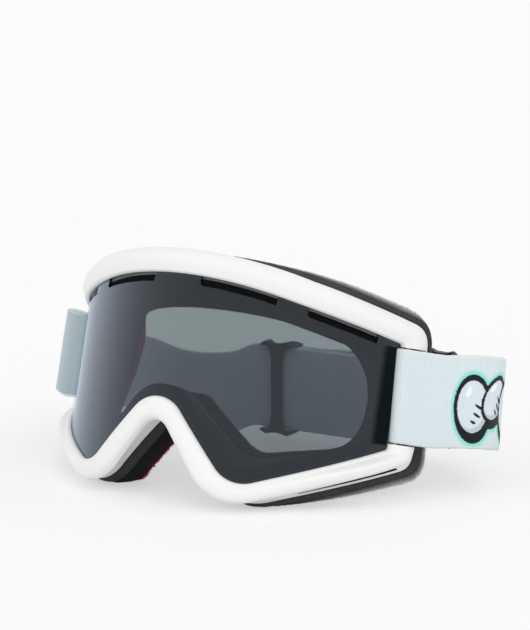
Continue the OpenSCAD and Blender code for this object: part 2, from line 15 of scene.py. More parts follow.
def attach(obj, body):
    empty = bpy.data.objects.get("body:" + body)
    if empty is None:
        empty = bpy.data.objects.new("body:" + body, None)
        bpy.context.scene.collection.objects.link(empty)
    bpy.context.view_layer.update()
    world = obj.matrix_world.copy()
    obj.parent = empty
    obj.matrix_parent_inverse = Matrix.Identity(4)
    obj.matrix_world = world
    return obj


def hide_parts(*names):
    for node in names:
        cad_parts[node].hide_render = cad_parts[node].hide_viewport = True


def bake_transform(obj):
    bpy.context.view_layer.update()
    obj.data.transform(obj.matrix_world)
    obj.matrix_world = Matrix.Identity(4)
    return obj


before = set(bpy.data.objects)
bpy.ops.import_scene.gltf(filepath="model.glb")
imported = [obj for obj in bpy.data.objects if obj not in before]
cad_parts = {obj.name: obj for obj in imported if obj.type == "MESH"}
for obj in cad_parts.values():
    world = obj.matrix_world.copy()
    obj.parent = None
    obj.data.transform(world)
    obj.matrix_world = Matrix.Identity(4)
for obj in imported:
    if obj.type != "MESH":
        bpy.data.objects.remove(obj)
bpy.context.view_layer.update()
MM = 0.001
noise.seed_set(7)

# Sizes, as in the part's source
LEAN = math.radians(15)
SHIFT = np.array([2.69, -56.14, 59.3])
LENS_R, LENS_HALF, LENS_T = 90.0, 103.5, 1.3
LENS_DROP, LENS_SEAT, NOTCH_R = 0.00225, 1.2, 1.2
NOTCHES = ((12.0, 46.0), (59.5, 91.5))
FRONT_R = LENS_R + 3
CREST_H, GROOVE_D, WALL_T, FLANGE_BACK, TEMPLE_BACK = 3.9, 1.6, 2.2, 14.0, 8.5
FIT = 0.15
SIDE_A = LENS_HALF / LENS_R
PIN_X, PIN_Y = LENS_R * math.sin(SIDE_A) + 2.35, LENS_R * (1 - math.cos(SIDE_A)) + 2.25
PIN_R, PIN_HALF, WINDOW_HALF = 1.25, 25.0, 20.6
FACE_R, FACE_Y, FACE_DEPTH, FACE_FLARE, FOAM_BULGE, FOAM_IN = 88.0, 32.0, 66.0, 0.0012, 1.0, 1.6
INNER_DEEP, INNER_SLOPE = 18.0, 0.28
BACKING, FLEECE = 0.3, 0.87
STRAP_W, STRAP_T = 40.0, 1.8
REAR_Y, REAR_Z, SECOND_Z, FLOOR_Z = PIN_Y + 63.5, -1.4, 3.0, -59.3
BULGE_R, BULGE_L = PIN_X + 29, PIN_X + 34.5
LEAVE_R, LEAVE_L = math.radians(45), math.radians(60)
SLIDE_X, SECOND_X, BAR_R, BAR_GAP, SLIDE_HALF, MID_W = -16.0, 70.0, 1.25, 7.6, 9.4, 6.2
TURN_R, OUT_Y, FOLD_B_ANG = 2.6, 4.3, math.radians(108)

# W-shaped loops: top, drop, straight from, half width, top corner, bottom corner, lobe position,
# lobe low point, lobe radius, rise in degrees, nose height, nose radius
LENS_P = (38.4, LENS_DROP, 46, LENS_HALF, 1.5, 1.5, 41, -45.6, 15, 20.6, -14.3, 14.5)
LENS_CUT_P = (39.6, LENS_DROP, 46, LENS_HALF + 12, 1, 1, 41, -46.8, 16.2, 20.6, -15.5, 13.3)
RIM_P = (49, 0.00186, 62, 121, 8, 7, 40, -54.1, 25, 19.5, -24.3, 8.5)
FLANGE_P = (47.5, 0.00168, 70, 110.8, 8, 6, 41, -53.4, 22, 19.9, -23.2, 9)
PORT_P = (29.5, 0.0018, 60, 81, 22, 16, 41, -34.5, 12, 14, -9, 13)
FACE_OUT_P = (49.3, 0.00095, 75, 113.3, 16, 12, 36, -54, 16, 13.2, -25, 9)
FACE_IN_P = (27, 0.0016, 50, 73, 18, 16, 32, -32, 9, 12, -11, 10)
# Points along each part of half a loop: top, corner, side, low edge, lobe, flank, nose
COUNTS = (60, 8, 12, 24, 30, 14, 24)

# Sizes of the render alone, in millimetres. Rim corners rise and foam corners are trimmed by an amount that
# peaks this far from the middle, spreads this wide, starts at this height and grows over this one.
CORNER_RISE, RISE_X, RISE_WIDE, RISE_Z, RISE_OVER = 2.2, 100, 24, 10, 30
CORNER_TRIM, TRIM_X, TRIM_WIDE, TRIM_Z, TRIM_OVER = 3.0, 108, 42, 8, 25
NOTCH_D = 4.0
# Strap: its ripple, the pull on the corner of the right fold, where that peaks and how far it reaches, and
# the stitches in a seam, where the first seam is and how far the second one is from it
RIPPLE, PULL, PULL_AT, PULL_REACH = 0.16, 2.4, 3.5, 13
SEAM_COUNT, SEAM_BACK, SEAM_GAP = 19, 1.6, 1.8
# Slider A: half thickness of its end rails, height of their humps and of the dip between them
RAIL_A, HUMP_A, DIP_A = 1.25, 2.3, 1.3
# Slider B: the same, half length up to its horns, how far the rails pass its bars, distance of the bars
RAIL_B, HUMP_B, DIP_B, HALF_B, OVER_B, BARS_B = 2.0, 1.9, 0.95, 8.2, 2.1, 12.0
# How far the bars of both reach into the rails
BAR_MORE = 0.8
# Hairs: how far they lean back at the face, how much they scatter, how deep their roots sit
HAIR_LEAN, HAIR_SCATTER, HAIR_ROOT = 1.4, 0.42, 0.15

# Looks: linear colours, pitches of the knit in metres, and strengths of light
# The third knit colour is painted shade: a darker blue grey for the left band near the frame, where the frame
# shades it.
OUTER_KNIT, INNER_KNIT, PAINTED_SHADE_KNIT = (0.655, 0.737, 0.764), (0.63, 0.72, 0.745), (0.27, 0.36, 0.40)
CORD_PITCH, ROW_PITCH = 0.00098, 0.00125
# Painted sheen: the pale grey of loose fibres and the outer foam edge, where they would catch light at
# grazing angles.
FUZZ_SHEEN = (0.72, 0.72, 0.72)
INK, MINT, CHALK = (0.012, 0.012, 0.016), (0.26, 0.71, 0.59), (0.80, 0.84, 0.89)
# Where the motif's glow and ink fade, from outside in, in millimetres beyond the pebbles
GLOW_EDGE, INK_EDGE = (2.7, 1.5), (1.15, 0.95)
LENS_TINT, LENS_GLOSS = (0.458, 0.498, 0.506), (0.785, 0.87, 1.0)
# Share of gloss on the lens: head on, added at a grazing angle, and the power of its rise between them
GLOSS_LEAST, GLOSS_MORE, GLOSS_POWER = 0.046, 0.84, 2.7
# Patches of painted shade on the lens, dark where the recess beside each strap end lies in shade: inner edge,
# height of the soft edge and middle height, in goggle millimetres
PATCH_X, PATCH_Z, PATCH_MID = (77.6, 79.6), (20.3, 21.2), -0.6
SHADE_PATCH_TONE = (0.0042, 0.0075, 0.0085)
FLOOR_LIFT, WORLD_LIGHT = 0.50, 0.70
# Lamps: azimuth, elevation and spread in degrees, strength
LAMPS = {"key": (58, 38, 60, 0.80), "fill": (-22, 20, 60, 0.68), "side": (120, 16, 40, 0.30)}
# Camera: place in metres, azimuth and elevation of its view in degrees, focal length and sensor height
CAMERA_AT, CAMERA_AZ, CAMERA_EL = (0.49455, -0.73216, 0.22025), 33.136, 9.559
CAMERA_LENS, CAMERA_SENSOR = 115.01, 36.0
TABLE = 30.0


def posed(p):
    p = np.asarray(p, float)
    c, s = math.cos(LEAN), math.sin(LEAN)
    x, y, z = p[..., 0], p[..., 1], p[..., 2]
    return (np.stack([x, c * y + s * z, c * z - s * y], -1) + SHIFT) * MM


def stood(p):
    """Stands a point of the rear strap up, so that it is upright on the table."""
    a, b = p[1] - REAR_Y, p[2] - REAR_Z
    c, s = math.cos(LEAN), math.sin(LEAN)
    return (p[0], REAR_Y + a * c - b * s, REAR_Z + a * s + b * c)


def strap_up(y):
    """Direction across the strap: leaning with the frame at its sides and upright behind the head."""
    w = LEAN * np.clip((y - REAR_Y + 35) / 26, 0, 1)
    return np.stack([0 * w, -np.sin(w), np.cos(w)], -1)


def mix(a, b, t):
    return a + (b - a) * t


def unit(v):
    return v / np.linalg.norm(v, axis=-1, keepdims=True)


# Loops and curved surfaces
def top_z(p, s):
    s = np.abs(s)
    return np.where(s < p[2], p[0] - p[1] * s * s,
                    p[0] - p[1] * p[2] ** 2 - 2 * p[1] * p[2] * (s - p[2]))


def half_loop(p):
    nt, nc, ns, nl, nb, nf, nn = COUNTS
    w, a, lr, nr = p[3], math.radians(p[9]), p[8], p[11]
    lobe, nose = np.array([p[6], p[7] + lr]), np.array([0, p[10] - nr])
    d = lobe - nose
    b = math.asin((lr + nr) / np.linalg.norm(d)) - math.atan2(d[1], d[0])
    low = lobe + lr * np.array([math.sin(a), -math.cos(a)])
    top_c = np.array([w, float(top_z(p, w))])
    bot_c = np.array([w, low[1] + math.tan(a) * (w - low[0])])
    ta, tb = np.array([w - p[4], float(top_z(p, w - p[4]))]), top_c - [0, p[4]]
    ba, bb = bot_c + [0, p[5]], bot_c - p[5] * np.array([math.cos(a), math.sin(a)])
    side = np.array([math.sin(b), math.cos(b)])
    pts = [np.array([(w - p[4]) * i / nt, float(top_z(p, (w - p[4]) * i / nt))]) for i in range(nt + 1)]
    for first, corner, last in ((ta, top_c, tb), (ba, bot_c, bb)):
        pts += [(1 - t) ** 2 * first + 2 * t * (1 - t) * corner + t * t * last
                for t in (i / nc for i in range(1, nc + 1))]
        if first is ta:
            pts += [mix(tb, ba, i / ns) for i in range(1, ns + 1)]
    pts += [mix(bb, low, i / nl) for i in range(1, nl + 1)]
    pts += [lobe + lr * np.array([math.sin(q), -math.cos(q)])
            for q in (mix(a, -b, i / nb) for i in range(1, nb + 1))]
    pts += [mix(lobe - lr * side, nose + nr * side, i / nf) for i in range(1, nf + 1)]
    pts += [nose + nr * np.array([math.sin(q), math.cos(q)])
            for q in (mix(b, 0, i / nn) for i in range(1, nn + 1))]
    return np.array(pts)


def loop(p):
    h = half_loop(p)
    return np.concatenate([h, h[-2:0:-1] * [-1, 1]])


def on_lens(a, z, h):
    return np.stack([(LENS_R + h) * np.sin(a), LENS_R - (LENS_R + h) * np.cos(a), z], -1)


def on_flange(q):
    a = q[:, 0] / FRONT_R
    return np.stack([FRONT_R * np.sin(a), FLANGE_BACK - 3 + FRONT_R * (1 - np.cos(a)), q[:, 1]], -1)


def on_face(q, deep=0.0, slope=0.0):
    """Points of a loop on the surface that meets the face: wider towards the cheeks, and deep further back
    at its own sides, more so higher up by slope."""
    a = q[:, 0] * (1 - FACE_FLARE * q[:, 1]) / FACE_R
    more = (deep + slope * q[:, 1]) * (q[:, 0] / np.max(q[:, 0])) ** 4
    return np.stack([FACE_R * np.sin(a), FACE_Y + FACE_DEPTH * (1 - np.cos(a)) + more, q[:, 1]], -1)


lens_l, rim_l = loop(LENS_P), loop(RIM_P)
flange_l = on_flange(loop(FLANGE_P))
port_q = loop(PORT_P)
port_l = on_flange(port_q)
port_l[:, 1] += TEMPLE_BACK * (np.abs(port_q[:, 0]) / PORT_P[3]) ** 4
tangent = unit(np.roll(lens_l, -1, 0) - np.roll(lens_l, 1, 0))
out_dir = np.stack([-tangent[:, 1], tangent[:, 0]], -1)
rim_len = np.hypot(rim_l[:, 0] * LENS_R / FRONT_R - lens_l[:, 0], rim_l[:, 1] - lens_l[:, 1])


def rim_pt(e, h):
    a = mix(lens_l[:, 0] / LENS_R, rim_l[:, 0] / FRONT_R, e)
    return on_lens(a, mix(lens_l[:, 1], rim_l[:, 1], e), h)


def step_pt(d, h):
    q = lens_l + d * out_dir
    return on_lens(q[:, 0] / LENS_R, q[:, 1], h)


def flange_pt(d, back):
    v = port_l - flange_l
    return flange_l + unit(v) * np.reshape(d, (-1, 1)) + [0, back, 0]


def wall_pt(t, d, out):
    front = rim_pt(1 - d / rim_len, -1)
    return mix(front, flange_pt(d, 0), np.reshape(t, (-1, 1))) + out * unit(rim_pt(1, 0) - port_l)


def spline(ctrl, k):
    """Catmull-Rom through ctrl, arrays or points, with k steps a span."""
    last = len(ctrl) - 1
    pts = []
    for i in range(last):
        a, b, c, d = (np.asarray(ctrl[min(max(i + j, 0), last)], float) for j in (-1, 0, 1, 2))
        for j in range(k):
            t = j / k
            pts.append(0.5 * (2 * b + (c - a) * t + (2 * a - 5 * b + 4 * c - d) * t * t
                              + (3 * b - a - 3 * c + d) * t ** 3))
    pts.append(np.asarray(ctrl[-1], float))
    return pts


# Mesh helpers
def finish_mesh(name, bm, sharp=38.0):
    """Makes an object of bm, smooth up to this angle in degrees between faces."""
    bmesh.ops.recalc_face_normals(bm, faces=bm.faces)
    me = bpy.data.meshes.new(name)
    bm.to_mesh(me)
    bm.free()
    me.shade_smooth()
    me.set_sharp_from_angle(angle=math.radians(sharp))
    ob = bpy.data.objects.new(name, me)
    bpy.context.scene.collection.objects.link(ob)
    return ob


def add_grid(bm, rows, wrap_u=False, wrap_v=True, uv=None):
    """Quads over rows[u][v], in metres, with caps on the ends of a tube. uv, if given, has one (u, v) pair
    for each point and one extra at the end of each row where the rows wrap."""
    rows = np.asarray(rows, float)
    n, m = rows.shape[:2]
    verts = [[bm.verts.new(rows[i, j]) for j in range(m)] for i in range(n)]
    layer = bm.loops.layers.uv.verify() if uv is not None else None
    for i in range(n if wrap_u else n - 1):
        k = (i + 1) % n
        for j in range(m if wrap_v else m - 1):
            q = (j + 1) % m
            f = bm.faces.new((verts[i][j], verts[i][q], verts[k][q], verts[k][j]))
            if layer is not None:
                for lp, (a, b) in zip(f.loops, ((i, j), (i, j + 1), (i + 1, j + 1), (i + 1, j))):
                    lp[layer].uv = uv[a][b]
    if wrap_v and not wrap_u:
        for row in (verts[0], verts[-1][::-1]):
            bm.faces.new(row[::-1])


def prism(name, outline, z0, z1):
    """Upright prism over a plan outline in goggle millimetres."""
    bm = bmesh.new()
    add_grid(bm, [posed([[x, y, z] for x, y in outline]) for z in (z0, z1)])
    return finish_mesh(name, bm)


def circle(cx, cy, r, n=40):
    return [(cx + r * math.cos(2 * math.pi * i / n), cy + r * math.sin(2 * math.pi * i / n))
            for i in range(n)]


def cut_away(ob, cutters):
    """Booleans the cutters out of ob, keeps the result as plain mesh and removes the cutters."""
    for c in cutters:
        m = ob.modifiers.new("cut", "BOOLEAN")
        m.operation, m.solver, m.object = "DIFFERENCE", "EXACT", c
    bpy.context.view_layer.update()
    done = bpy.data.meshes.new_from_object(ob.evaluated_get(bpy.context.evaluated_depsgraph_get()))
    ob.modifiers.clear()
    ob.data = done
    done.shade_smooth()
    done.set_sharp_from_angle(angle=math.radians(34))
    for c in cutters:
        bpy.data.objects.remove(c)


# Materials
class Nodes:
    """An emptied node tree with short calls."""

    def __init__(self, tree):
        self.tree = tree
        tree.nodes.clear()

    def put(self, socket, value):
        if isinstance(value, bpy.types.Node):
            value = value.outputs[0]
        if isinstance(value, bpy.types.NodeSocket):
            self.tree.links.new(value, socket)
        elif isinstance(value, tuple) and len(value) == 3 and socket.type == "RGBA":
            socket.default_value = (*value, 1)
        else:
            socket.default_value = value

    def add(self, kind, values=(), **props):
        n = self.tree.nodes.new("ShaderNode" + kind)
        for k, v in props.items():
            setattr(n, k, v)
        for k, v in dict(values).items():
            self.put(n.inputs[k], v)
        return n

    def math(self, op, a, b=0.0, c=0.0, clamp=False):
        return self.add("Math", {0: a, 1: b, 2: c}, operation=op, use_clamp=clamp)


class Shader(Nodes):
    """The nodes of a new material."""

    def __init__(self, name):
        self.mat = bpy.data.materials.new(name)
        self.mat.use_nodes = True
        super().__init__(self.mat.node_tree)
        self.out = self.add("OutputMaterial")
        self.coord = self.add("TexCoord")

    def blend(self, fac, a, b):
        n = self.add("Mix", data_type="RGBA")
        for i, v in ((0, fac), (6, a), (7, b)):
            self.put(n.inputs[i], v)
        return n.outputs[2]

    def step(self, x, lo, hi, a=0.0, b=1.0):
        return self.add("MapRange", {"Value": x, "From Min": lo, "From Max": hi, "To Min": a, "To Max": b},
                        interpolation_type="SMOOTHSTEP").outputs[0]

    def noise(self, scale, detail=3.0, rough=0.6, vector=None):
        return self.add("TexNoise", {"Vector": vector or self.coord.outputs["Object"], "Scale": scale,
                                     "Detail": detail, "Roughness": rough}).outputs["Fac"]

    def cells(self, scale):
        at = self.coord.outputs["Object"]
        return self.add("TexVoronoi", {"Vector": at, "Scale": scale}).outputs["Distance"]

    def bump(self, height, strength, distance):
        return self.add("Bump", {"Height": height, "Strength": strength, "Distance": distance})

    def goggle_mm(self):
        """The shaded point in the goggle axes, in millimetres."""
        return self.add("Mapping", {"Vector": self.coord.outputs["Object"], "Location": tuple(SHIFT * MM),
                                    "Rotation": (-LEAN, 0, 0), "Scale": (MM, MM, MM)}, vector_type="TEXTURE")

    def surface(self, shader):
        self.put(self.out.inputs["Surface"], shader)
        return self.mat


def principled(s, color, rough, normal=None, **more):
    values = {"Base Color": color, "Roughness": rough}
    values.update({k.replace("_", " "): v for k, v in more.items()})
    if normal is not None:
        values["Normal"] = normal
    return s.add("BsdfPrincipled", values)


def white_plastic():
    s = Shader("white_moulded")
    broad, fine = s.noise(28, 4), s.noise(1600, 2, 0.7)
    tone = s.blend(broad, (0.806, 0.809, 0.798), (0.842, 0.842, 0.836))
    # Painted shade: the white darkens towards grey where ambient occlusion finds crevices.
    crevice_shade = s.add("AmbientOcclusion", {"Distance": 0.007}, samples=6)
    tone = s.blend(s.step(crevice_shade.outputs["AO"], 0.25, 0.95), (0.68, 0.68, 0.665), tone)
    rough = s.step(broad, 0.3, 0.7, 0.36, 0.46)
    return s.surface(principled(s, tone, rough, s.bump(fine, 0.12, 0.00006),
                                Coat_Weight=0.12, Coat_Roughness=0.25, Specular_IOR_Level=0.45))


def black_plastic(name, tone, rough, grain=1400.0, gloss=0.4):
    s = Shader(name)
    broad, fine = s.noise(60, 3), s.noise(grain, 2, 0.7)
    color = s.blend(broad, tuple(v * 0.8 for v in tone), tuple(v * 1.25 for v in tone))
    return s.surface(principled(s, color, s.step(broad, 0.3, 0.7, rough - 0.05, rough + 0.07),
                                s.bump(fine, 0.08, 0.00006), Specular_IOR_Level=gloss))


def tinted_lens():
    """Grey tint with a gloss at grazing angles, and a black patch of painted shade beside each strap end,
    where the recess behind the lens lies in shade.
    """
    s = Shader("lens_tint_shader")
    clear = s.add("BsdfTransparent", {"Color": LENS_TINT})
    smudge = s.step(s.noise(45, 5, 0.65), 0.35, 0.75, 0.012, 0.05)
    gloss = s.add("BsdfGlossy", {"Color": LENS_GLOSS, "Roughness": smudge})
    front = s.math("SUBTRACT", 1.0, s.add("NewGeometry").outputs["Backfacing"])
    facing = s.add("LayerWeight", {"Blend": 0.5}).outputs["Facing"]
    rise = s.math("MULTIPLY", GLOSS_MORE, s.math("POWER", facing, GLOSS_POWER))
    shine = s.math("ADD", GLOSS_LEAST, rise, clamp=True)
    both = s.add("MixShader", {0: s.math("MULTIPLY", shine, front), 1: clear, 2: gloss})
    # Painted shade: a dark matt patch with a soft edge beside each strap end, standing for the shaded recess
    # behind the lens.
    at = s.add("SeparateXYZ", {0: s.goggle_mm()})
    beside = s.step(s.math("ABSOLUTE", at.outputs[0]), *PATCH_X)
    off_middle = s.math("ABSOLUTE", s.math("SUBTRACT", at.outputs[2], PATCH_MID))
    level = s.step(off_middle, *PATCH_Z, 1.0, 0.0)
    grain = s.step(s.noise(500, 3), 0.3, 0.7, 0.82, 0.9)
    shade_patch = principled(s, SHADE_PATCH_TONE, grain, Specular_IOR_Level=0.04)
    return s.surface(s.add("MixShader", {0: s.math("MULTIPLY", beside, level), 1: both, 2: shade_patch}))


def clear_lens():
    s = Shader("lens_clear_shader")
    clear = s.add("BsdfTransparent", {"Color": (0.985, 0.99, 0.985)})
    haze = s.step(s.noise(80, 3), 0.3, 0.8, 0.05, 0.12)
    gloss = s.add("BsdfGlossy", {"Color": (0.9, 0.92, 0.95), "Roughness": haze})
    front = s.math("SUBTRACT", 1.0, s.add("NewGeometry").outputs["Backfacing"])
    fresnel = s.math("MULTIPLY", s.add("Fresnel", {"IOR": 1.06}), front)
    return s.surface(s.add("MixShader", {0: fresnel, 1: clear, 2: gloss}))


def foam(name, dark, light, cell, sheen, hair=None, skin=None):
    """Open-cell foam. Where its vertex attribute marks loose fibres, it blends to the hair colour, a pale
    grey of painted sheen where they would catch light at grazing angles; the skin attribute blends to the
    colour of a brushed face."""
    s = Shader(name)
    cells, grit, broad = s.cells(cell), s.noise(cell * 0.7, 4, 0.75), s.noise(90, 3)
    pores = s.math("MULTIPLY", s.step(cells, 0.05, 0.55), s.step(grit, 0.3, 0.62))
    color = s.blend(pores, dark, light)
    color = s.blend(s.step(broad, 0.35, 0.75, 0.0, 0.35), color, dark)
    if skin:
        nap = s.step(s.noise(2600, 3, 0.7), 0.3, 0.7)
        pile = s.blend(nap, tuple(v * 0.45 for v in skin), skin)
        color = s.blend(s.add("Attribute", attribute_name="skin").outputs["Fac"], color, pile)
    # Painted sheen: marked hairs and outer sides blend to the pale hair colour, broken up in tufts.
    if hair:
        tuft = s.step(s.noise(700, 4, 0.75), 0.32, 0.68, 0.62, 1.0)
        fuzz_sheen = s.math("MULTIPLY", s.add("Attribute", attribute_name="fuzz_sheen").outputs["Fac"], tuft)
        color = s.blend(fuzz_sheen, color, hair)
    return s.surface(principled(s, color, 0.95, s.bump(pores, 0.3, 0.0003), Sheen_Weight=sheen,
                                Sheen_Roughness=0.5, Specular_IOR_Level=0.1))


def knit(name, outer, inner, motif=False, painted_shade=None):
    """Knitted elastic: u runs along the band in metres, v across it, 0 to 1 outside and 1 to 2 inside. The
    optional darker colour that the band starts with is painted shade, where the frame shades the strap near
    its pin."""
    s = Shader(name)
    uv = s.add("UVMap")
    sep = s.add("SeparateXYZ", {0: uv})
    u, v = sep.outputs[0], sep.outputs[1]
    across = s.math("MULTIPLY", v, STRAP_W * MM)
    wander = s.noise(1.0, 2, 0.5, s.add("CombineXYZ", {0: s.math("MULTIPLY", u, 240),
                                                      1: s.math("MULTIPLY", across, 90)}))
    turn = s.math("ADD", s.math("MULTIPLY", u, 2 * math.pi / CORD_PITCH), s.math("MULTIPLY", wander, 3.0))
    cord_n = s.math("SINE", turn)
    row_n = s.math("SINE", s.math("MULTIPLY", across, 2 * math.pi / ROW_PITCH))
    stitch = s.math("MULTIPLY", s.math("ADD", cord_n, 1.0),
                    s.math("ADD", s.math("MULTIPLY", row_n, 0.14), 0.86))
    streak_at = s.add("CombineXYZ", {0: s.math("MULTIPLY", u, 900), 1: s.math("MULTIPLY", across, 60)})
    streak = s.noise(1.0, 3, 0.6, streak_at)
    speck = s.noise(1.0, 2, 0.7, s.add("CombineXYZ", {0: s.math("MULTIPLY", u, 1500),
                                                     1: s.math("MULTIPLY", across, 1300)}))
    # Painted shade: the band starts in a darker blue grey that gives way to its own colour between 22 and 85
    # mm along it, where the frame shades the strap.
    face = s.blend(s.step(u, 0.022, 0.085), painted_shade, outer) if painted_shade else outer
    color = s.blend(s.math("GREATER_THAN", v, 1.0), face, inner)
    # Painted shade: the knit darkens towards a blue grey where ambient occlusion finds the frame or other
    # parts close by.
    shade = s.add("AmbientOcclusion", {"Distance": 0.045}, samples=4).outputs["AO"]
    color = s.blend(s.step(shade, 0.3, 0.9, 0.5, 0.0), color, s.blend(0.6, color, (0.10, 0.17, 0.21)))
    color = s.blend(s.step(streak, 0.35, 0.75, 0.0, 0.34), color,
                    s.blend(0.5, color, (0.52, 0.60, 0.63)))
    color = s.blend(s.step(stitch, 0.0, 1.2, 0.19, 0.0), color, s.blend(0.55, color, (0.30, 0.36, 0.38)))
    color = s.blend(s.step(speck, 0.58, 0.72, 0.0, 0.25), color, s.blend(0.5, color, (0.9, 0.93, 0.95)))
    if motif:
        color = draw_motif(s, u, across, color)
    edge = s.math("ABSOLUTE", s.math("SUBTRACT", s.math("FRACT", v), 0.5))
    color = s.blend(s.step(edge, 0.465, 0.49, 0.0, 0.5), color, s.blend(0.5, color, (0.86, 0.88, 0.91)))
    height = s.math("ADD", s.math("MULTIPLY", stitch, 0.5), s.math("MULTIPLY", speck, 0.5))
    return s.surface(principled(s, color, 0.86, s.bump(height, 0.4, 0.00016), Sheen_Weight=0.12,
                                Sheen_Roughness=0.5, Specular_IOR_Level=0.2))


# Pebble motif: centre along the strap and across it, half width, half height, tilt in degrees
PEBBLES = ((54.4, 17.8, 7.2, 12.2, 8), (65.6, 21.4, 6.6, 9.6, -20), (76.6, 17.2, 7.0, 11.6, 10),
           (89.0, 21.0, 7.6, 10.2, -16), (101.4, 17.6, 7.0, 12.0, 12))


def pebble(s, at, cx, cy, a, b, tilt):
    """Distance of a point to the edge of a tilted ellipse, in millimetres and below 0 inside."""
    local = s.add("Mapping", {"Vector": at, "Location": (cx * MM, cy * MM, 0),
                              "Rotation": (0, 0, math.radians(tilt)), "Scale": (a * MM, b * MM, 1)},
                  vector_type="TEXTURE")
    size = s.add("VectorMath", {0: local}, operation="LENGTH").outputs["Value"]
    return s.math("MULTIPLY", s.math("SUBTRACT", size, 1.0), a)


def union(s, dist):
    near = dist[0]
    for d in dist[1:]:
        near = s.math("SMOOTH_MIN", near, d, 1.0)
    return near


def draw_motif(s, u, across, base):
    """Rounded pebbles in ink outlines with a thick lower shadow, on a mint glow."""
    grid = 0.00035
    ragged = s.math("MULTIPLY", s.math("SUBTRACT", s.noise(1500, 2), 0.5), 0.0009)
    at = s.add("CombineXYZ", {0: s.math("SNAP", s.math("ADD", u, ragged), grid),
                              1: s.math("SNAP", across, grid)})
    dist = [pebble(s, at, *spec) for spec in PEBBLES]
    drop = [pebble(s, at, cx + 0.5, cy - 2.0, a, b, tilt) for cx, cy, a, b, tilt in PEBBLES]
    near = s.math("SMOOTH_MIN", union(s, dist), union(s, drop), 0.6)
    color = s.blend(s.step(near, *GLOW_EDGE), base, MINT)
    color = s.blend(s.step(near, *INK_EDGE), color, INK)
    for spec, d in zip(PEBBLES, dist):
        cx, cy, a, b, tilt = spec
        color = s.blend(s.step(d, 0.75, 0.6), color, INK)
        color = s.blend(s.step(d, -0.45, -0.6), color, base)
        light = pebble(s, at, cx - 0.9, cy + 1.2, a, b, tilt)
        shade = s.math("MULTIPLY", s.step(d, -0.6, -0.75), s.step(light, -1.0, -0.7))
        color = s.blend(s.math("MULTIPLY", shade, 0.55), color, (0.30, 0.40, 0.46))
        spot = pebble(s, at, cx - 0.34 * a, cy + 0.52 * b, 1.1, 2.3, tilt - 24)
        color = s.blend(s.step(spot, 0.1, -0.1), color, CHALK)
        for k, (dx, dy) in enumerate(((0.40, -0.02), (0.30, -0.30), (0.12, -0.55))):
            stroke = pebble(s, at, cx + dx * a, cy + dy * b, 0.62, 2.6 - 0.6 * k, tilt + 52)
            color = s.blend(s.step(stroke, 0.05, -0.1), color, INK)
    outside = s.math("MULTIPLY", s.math("GREATER_THAN", across, 0.0),
                     s.math("LESS_THAN", across, STRAP_W * MM))
    return s.blend(outside, base, color)


def metal(name, tone):
    s = Shader(name)
    wear = s.step(s.noise(220, 5), 0.35, 0.7)
    color = s.blend(wear, tone, tuple(v * 0.6 for v in tone))
    return s.surface(principled(s, color, s.step(s.noise(900, 2), 0.3, 0.7, 0.25, 0.42),
                                s.bump(s.noise(1800, 2), 0.15, 0.00005), Metallic=1.0))


def floor_material():
    s = Shader("white_table")
    path = s.add("LightPath")
    seen = s.math("ADD", path.outputs["Is Camera Ray"],
                  s.math("ADD", path.outputs["Is Glossy Ray"], path.outputs["Is Transmission Ray"]),
                  clamp=True)
    tone = s.blend(s.noise(3, 2), (0.965, 0.965, 0.965), (0.98, 0.98, 0.98))
    body = s.add("BsdfDiffuse", {"Color": tone})
    white = s.add("Emission", {"Color": (1, 1, 1), "Strength": 1.0})
    return s.surface(s.add("MixShader", {0: s.math("MULTIPLY", seen, FLOOR_LIFT), 1: body, 2: white}))


MATS = {
    "white": white_plastic(),
    "inner": black_plastic("inner_black_shader", (0.13, 0.14, 0.145), 0.6, 4200.0),
    "spacer": black_plastic("spacer_shader", (0.010, 0.011, 0.012), 0.7, 900),
    "slider": black_plastic("slider_shader", (0.006, 0.0065, 0.008), 0.4, 1400.0, 0.3),
    "tint": tinted_lens(),
    "clear": clear_lens(),
    "vent": foam("vent_foam_shader", (0.002, 0.002, 0.002), (0.007, 0.007, 0.0075), 1500, 0.0),
    "backing": foam("grey_foam", (0.028, 0.028, 0.028), (0.052, 0.052, 0.050), 1900, 0.06, FUZZ_SHEEN),
    "core": foam("black_foam", (0.0035, 0.0035, 0.004), (0.014, 0.014, 0.015), 1700, 0.03, FUZZ_SHEEN),
    "fleece": foam("fleece_face", (0.0035, 0.0035, 0.004), (0.014, 0.014, 0.015), 1700, 0.03, FUZZ_SHEEN,
                   (0.42, 0.018, 0.11)),
    "pin": metal("pin_brass", (0.50, 0.36, 0.20)),
    "knit": knit("strap_knit", OUTER_KNIT, INNER_KNIT),
    "knit_motif": knit("strap_knit_motif", OUTER_KNIT, INNER_KNIT, motif=True),
    "knit_painted_shade": knit("strap_knit_painted_shade", OUTER_KNIT, INNER_KNIT, painted_shade=PAINTED_SHADE_KNIT),
}


def dress(ob, mat):
    ob.data.materials.clear()
    ob.data.materials.append(MATS[mat])
    return ob


def place(ob, mat, body, slot, *nodes):
    dress(ob, mat)
    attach(ob, body)
    if nodes:
        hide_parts(*nodes)
    return ob


# CAD nodes that stay
for mat, *nodes in (("inner", "inner_frame"), ("spacer", "lens_gasket"), ("clear", "lens_inner"),
                    ("vent", "vent_foam_top_left", "vent_foam_top_right",
                     "vent_foam_lower_left", "vent_foam_lower_right"),
                    ("pin", "strap_pin_left", "strap_pin_right")):
    for node in nodes:
        dress(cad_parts[node], mat)


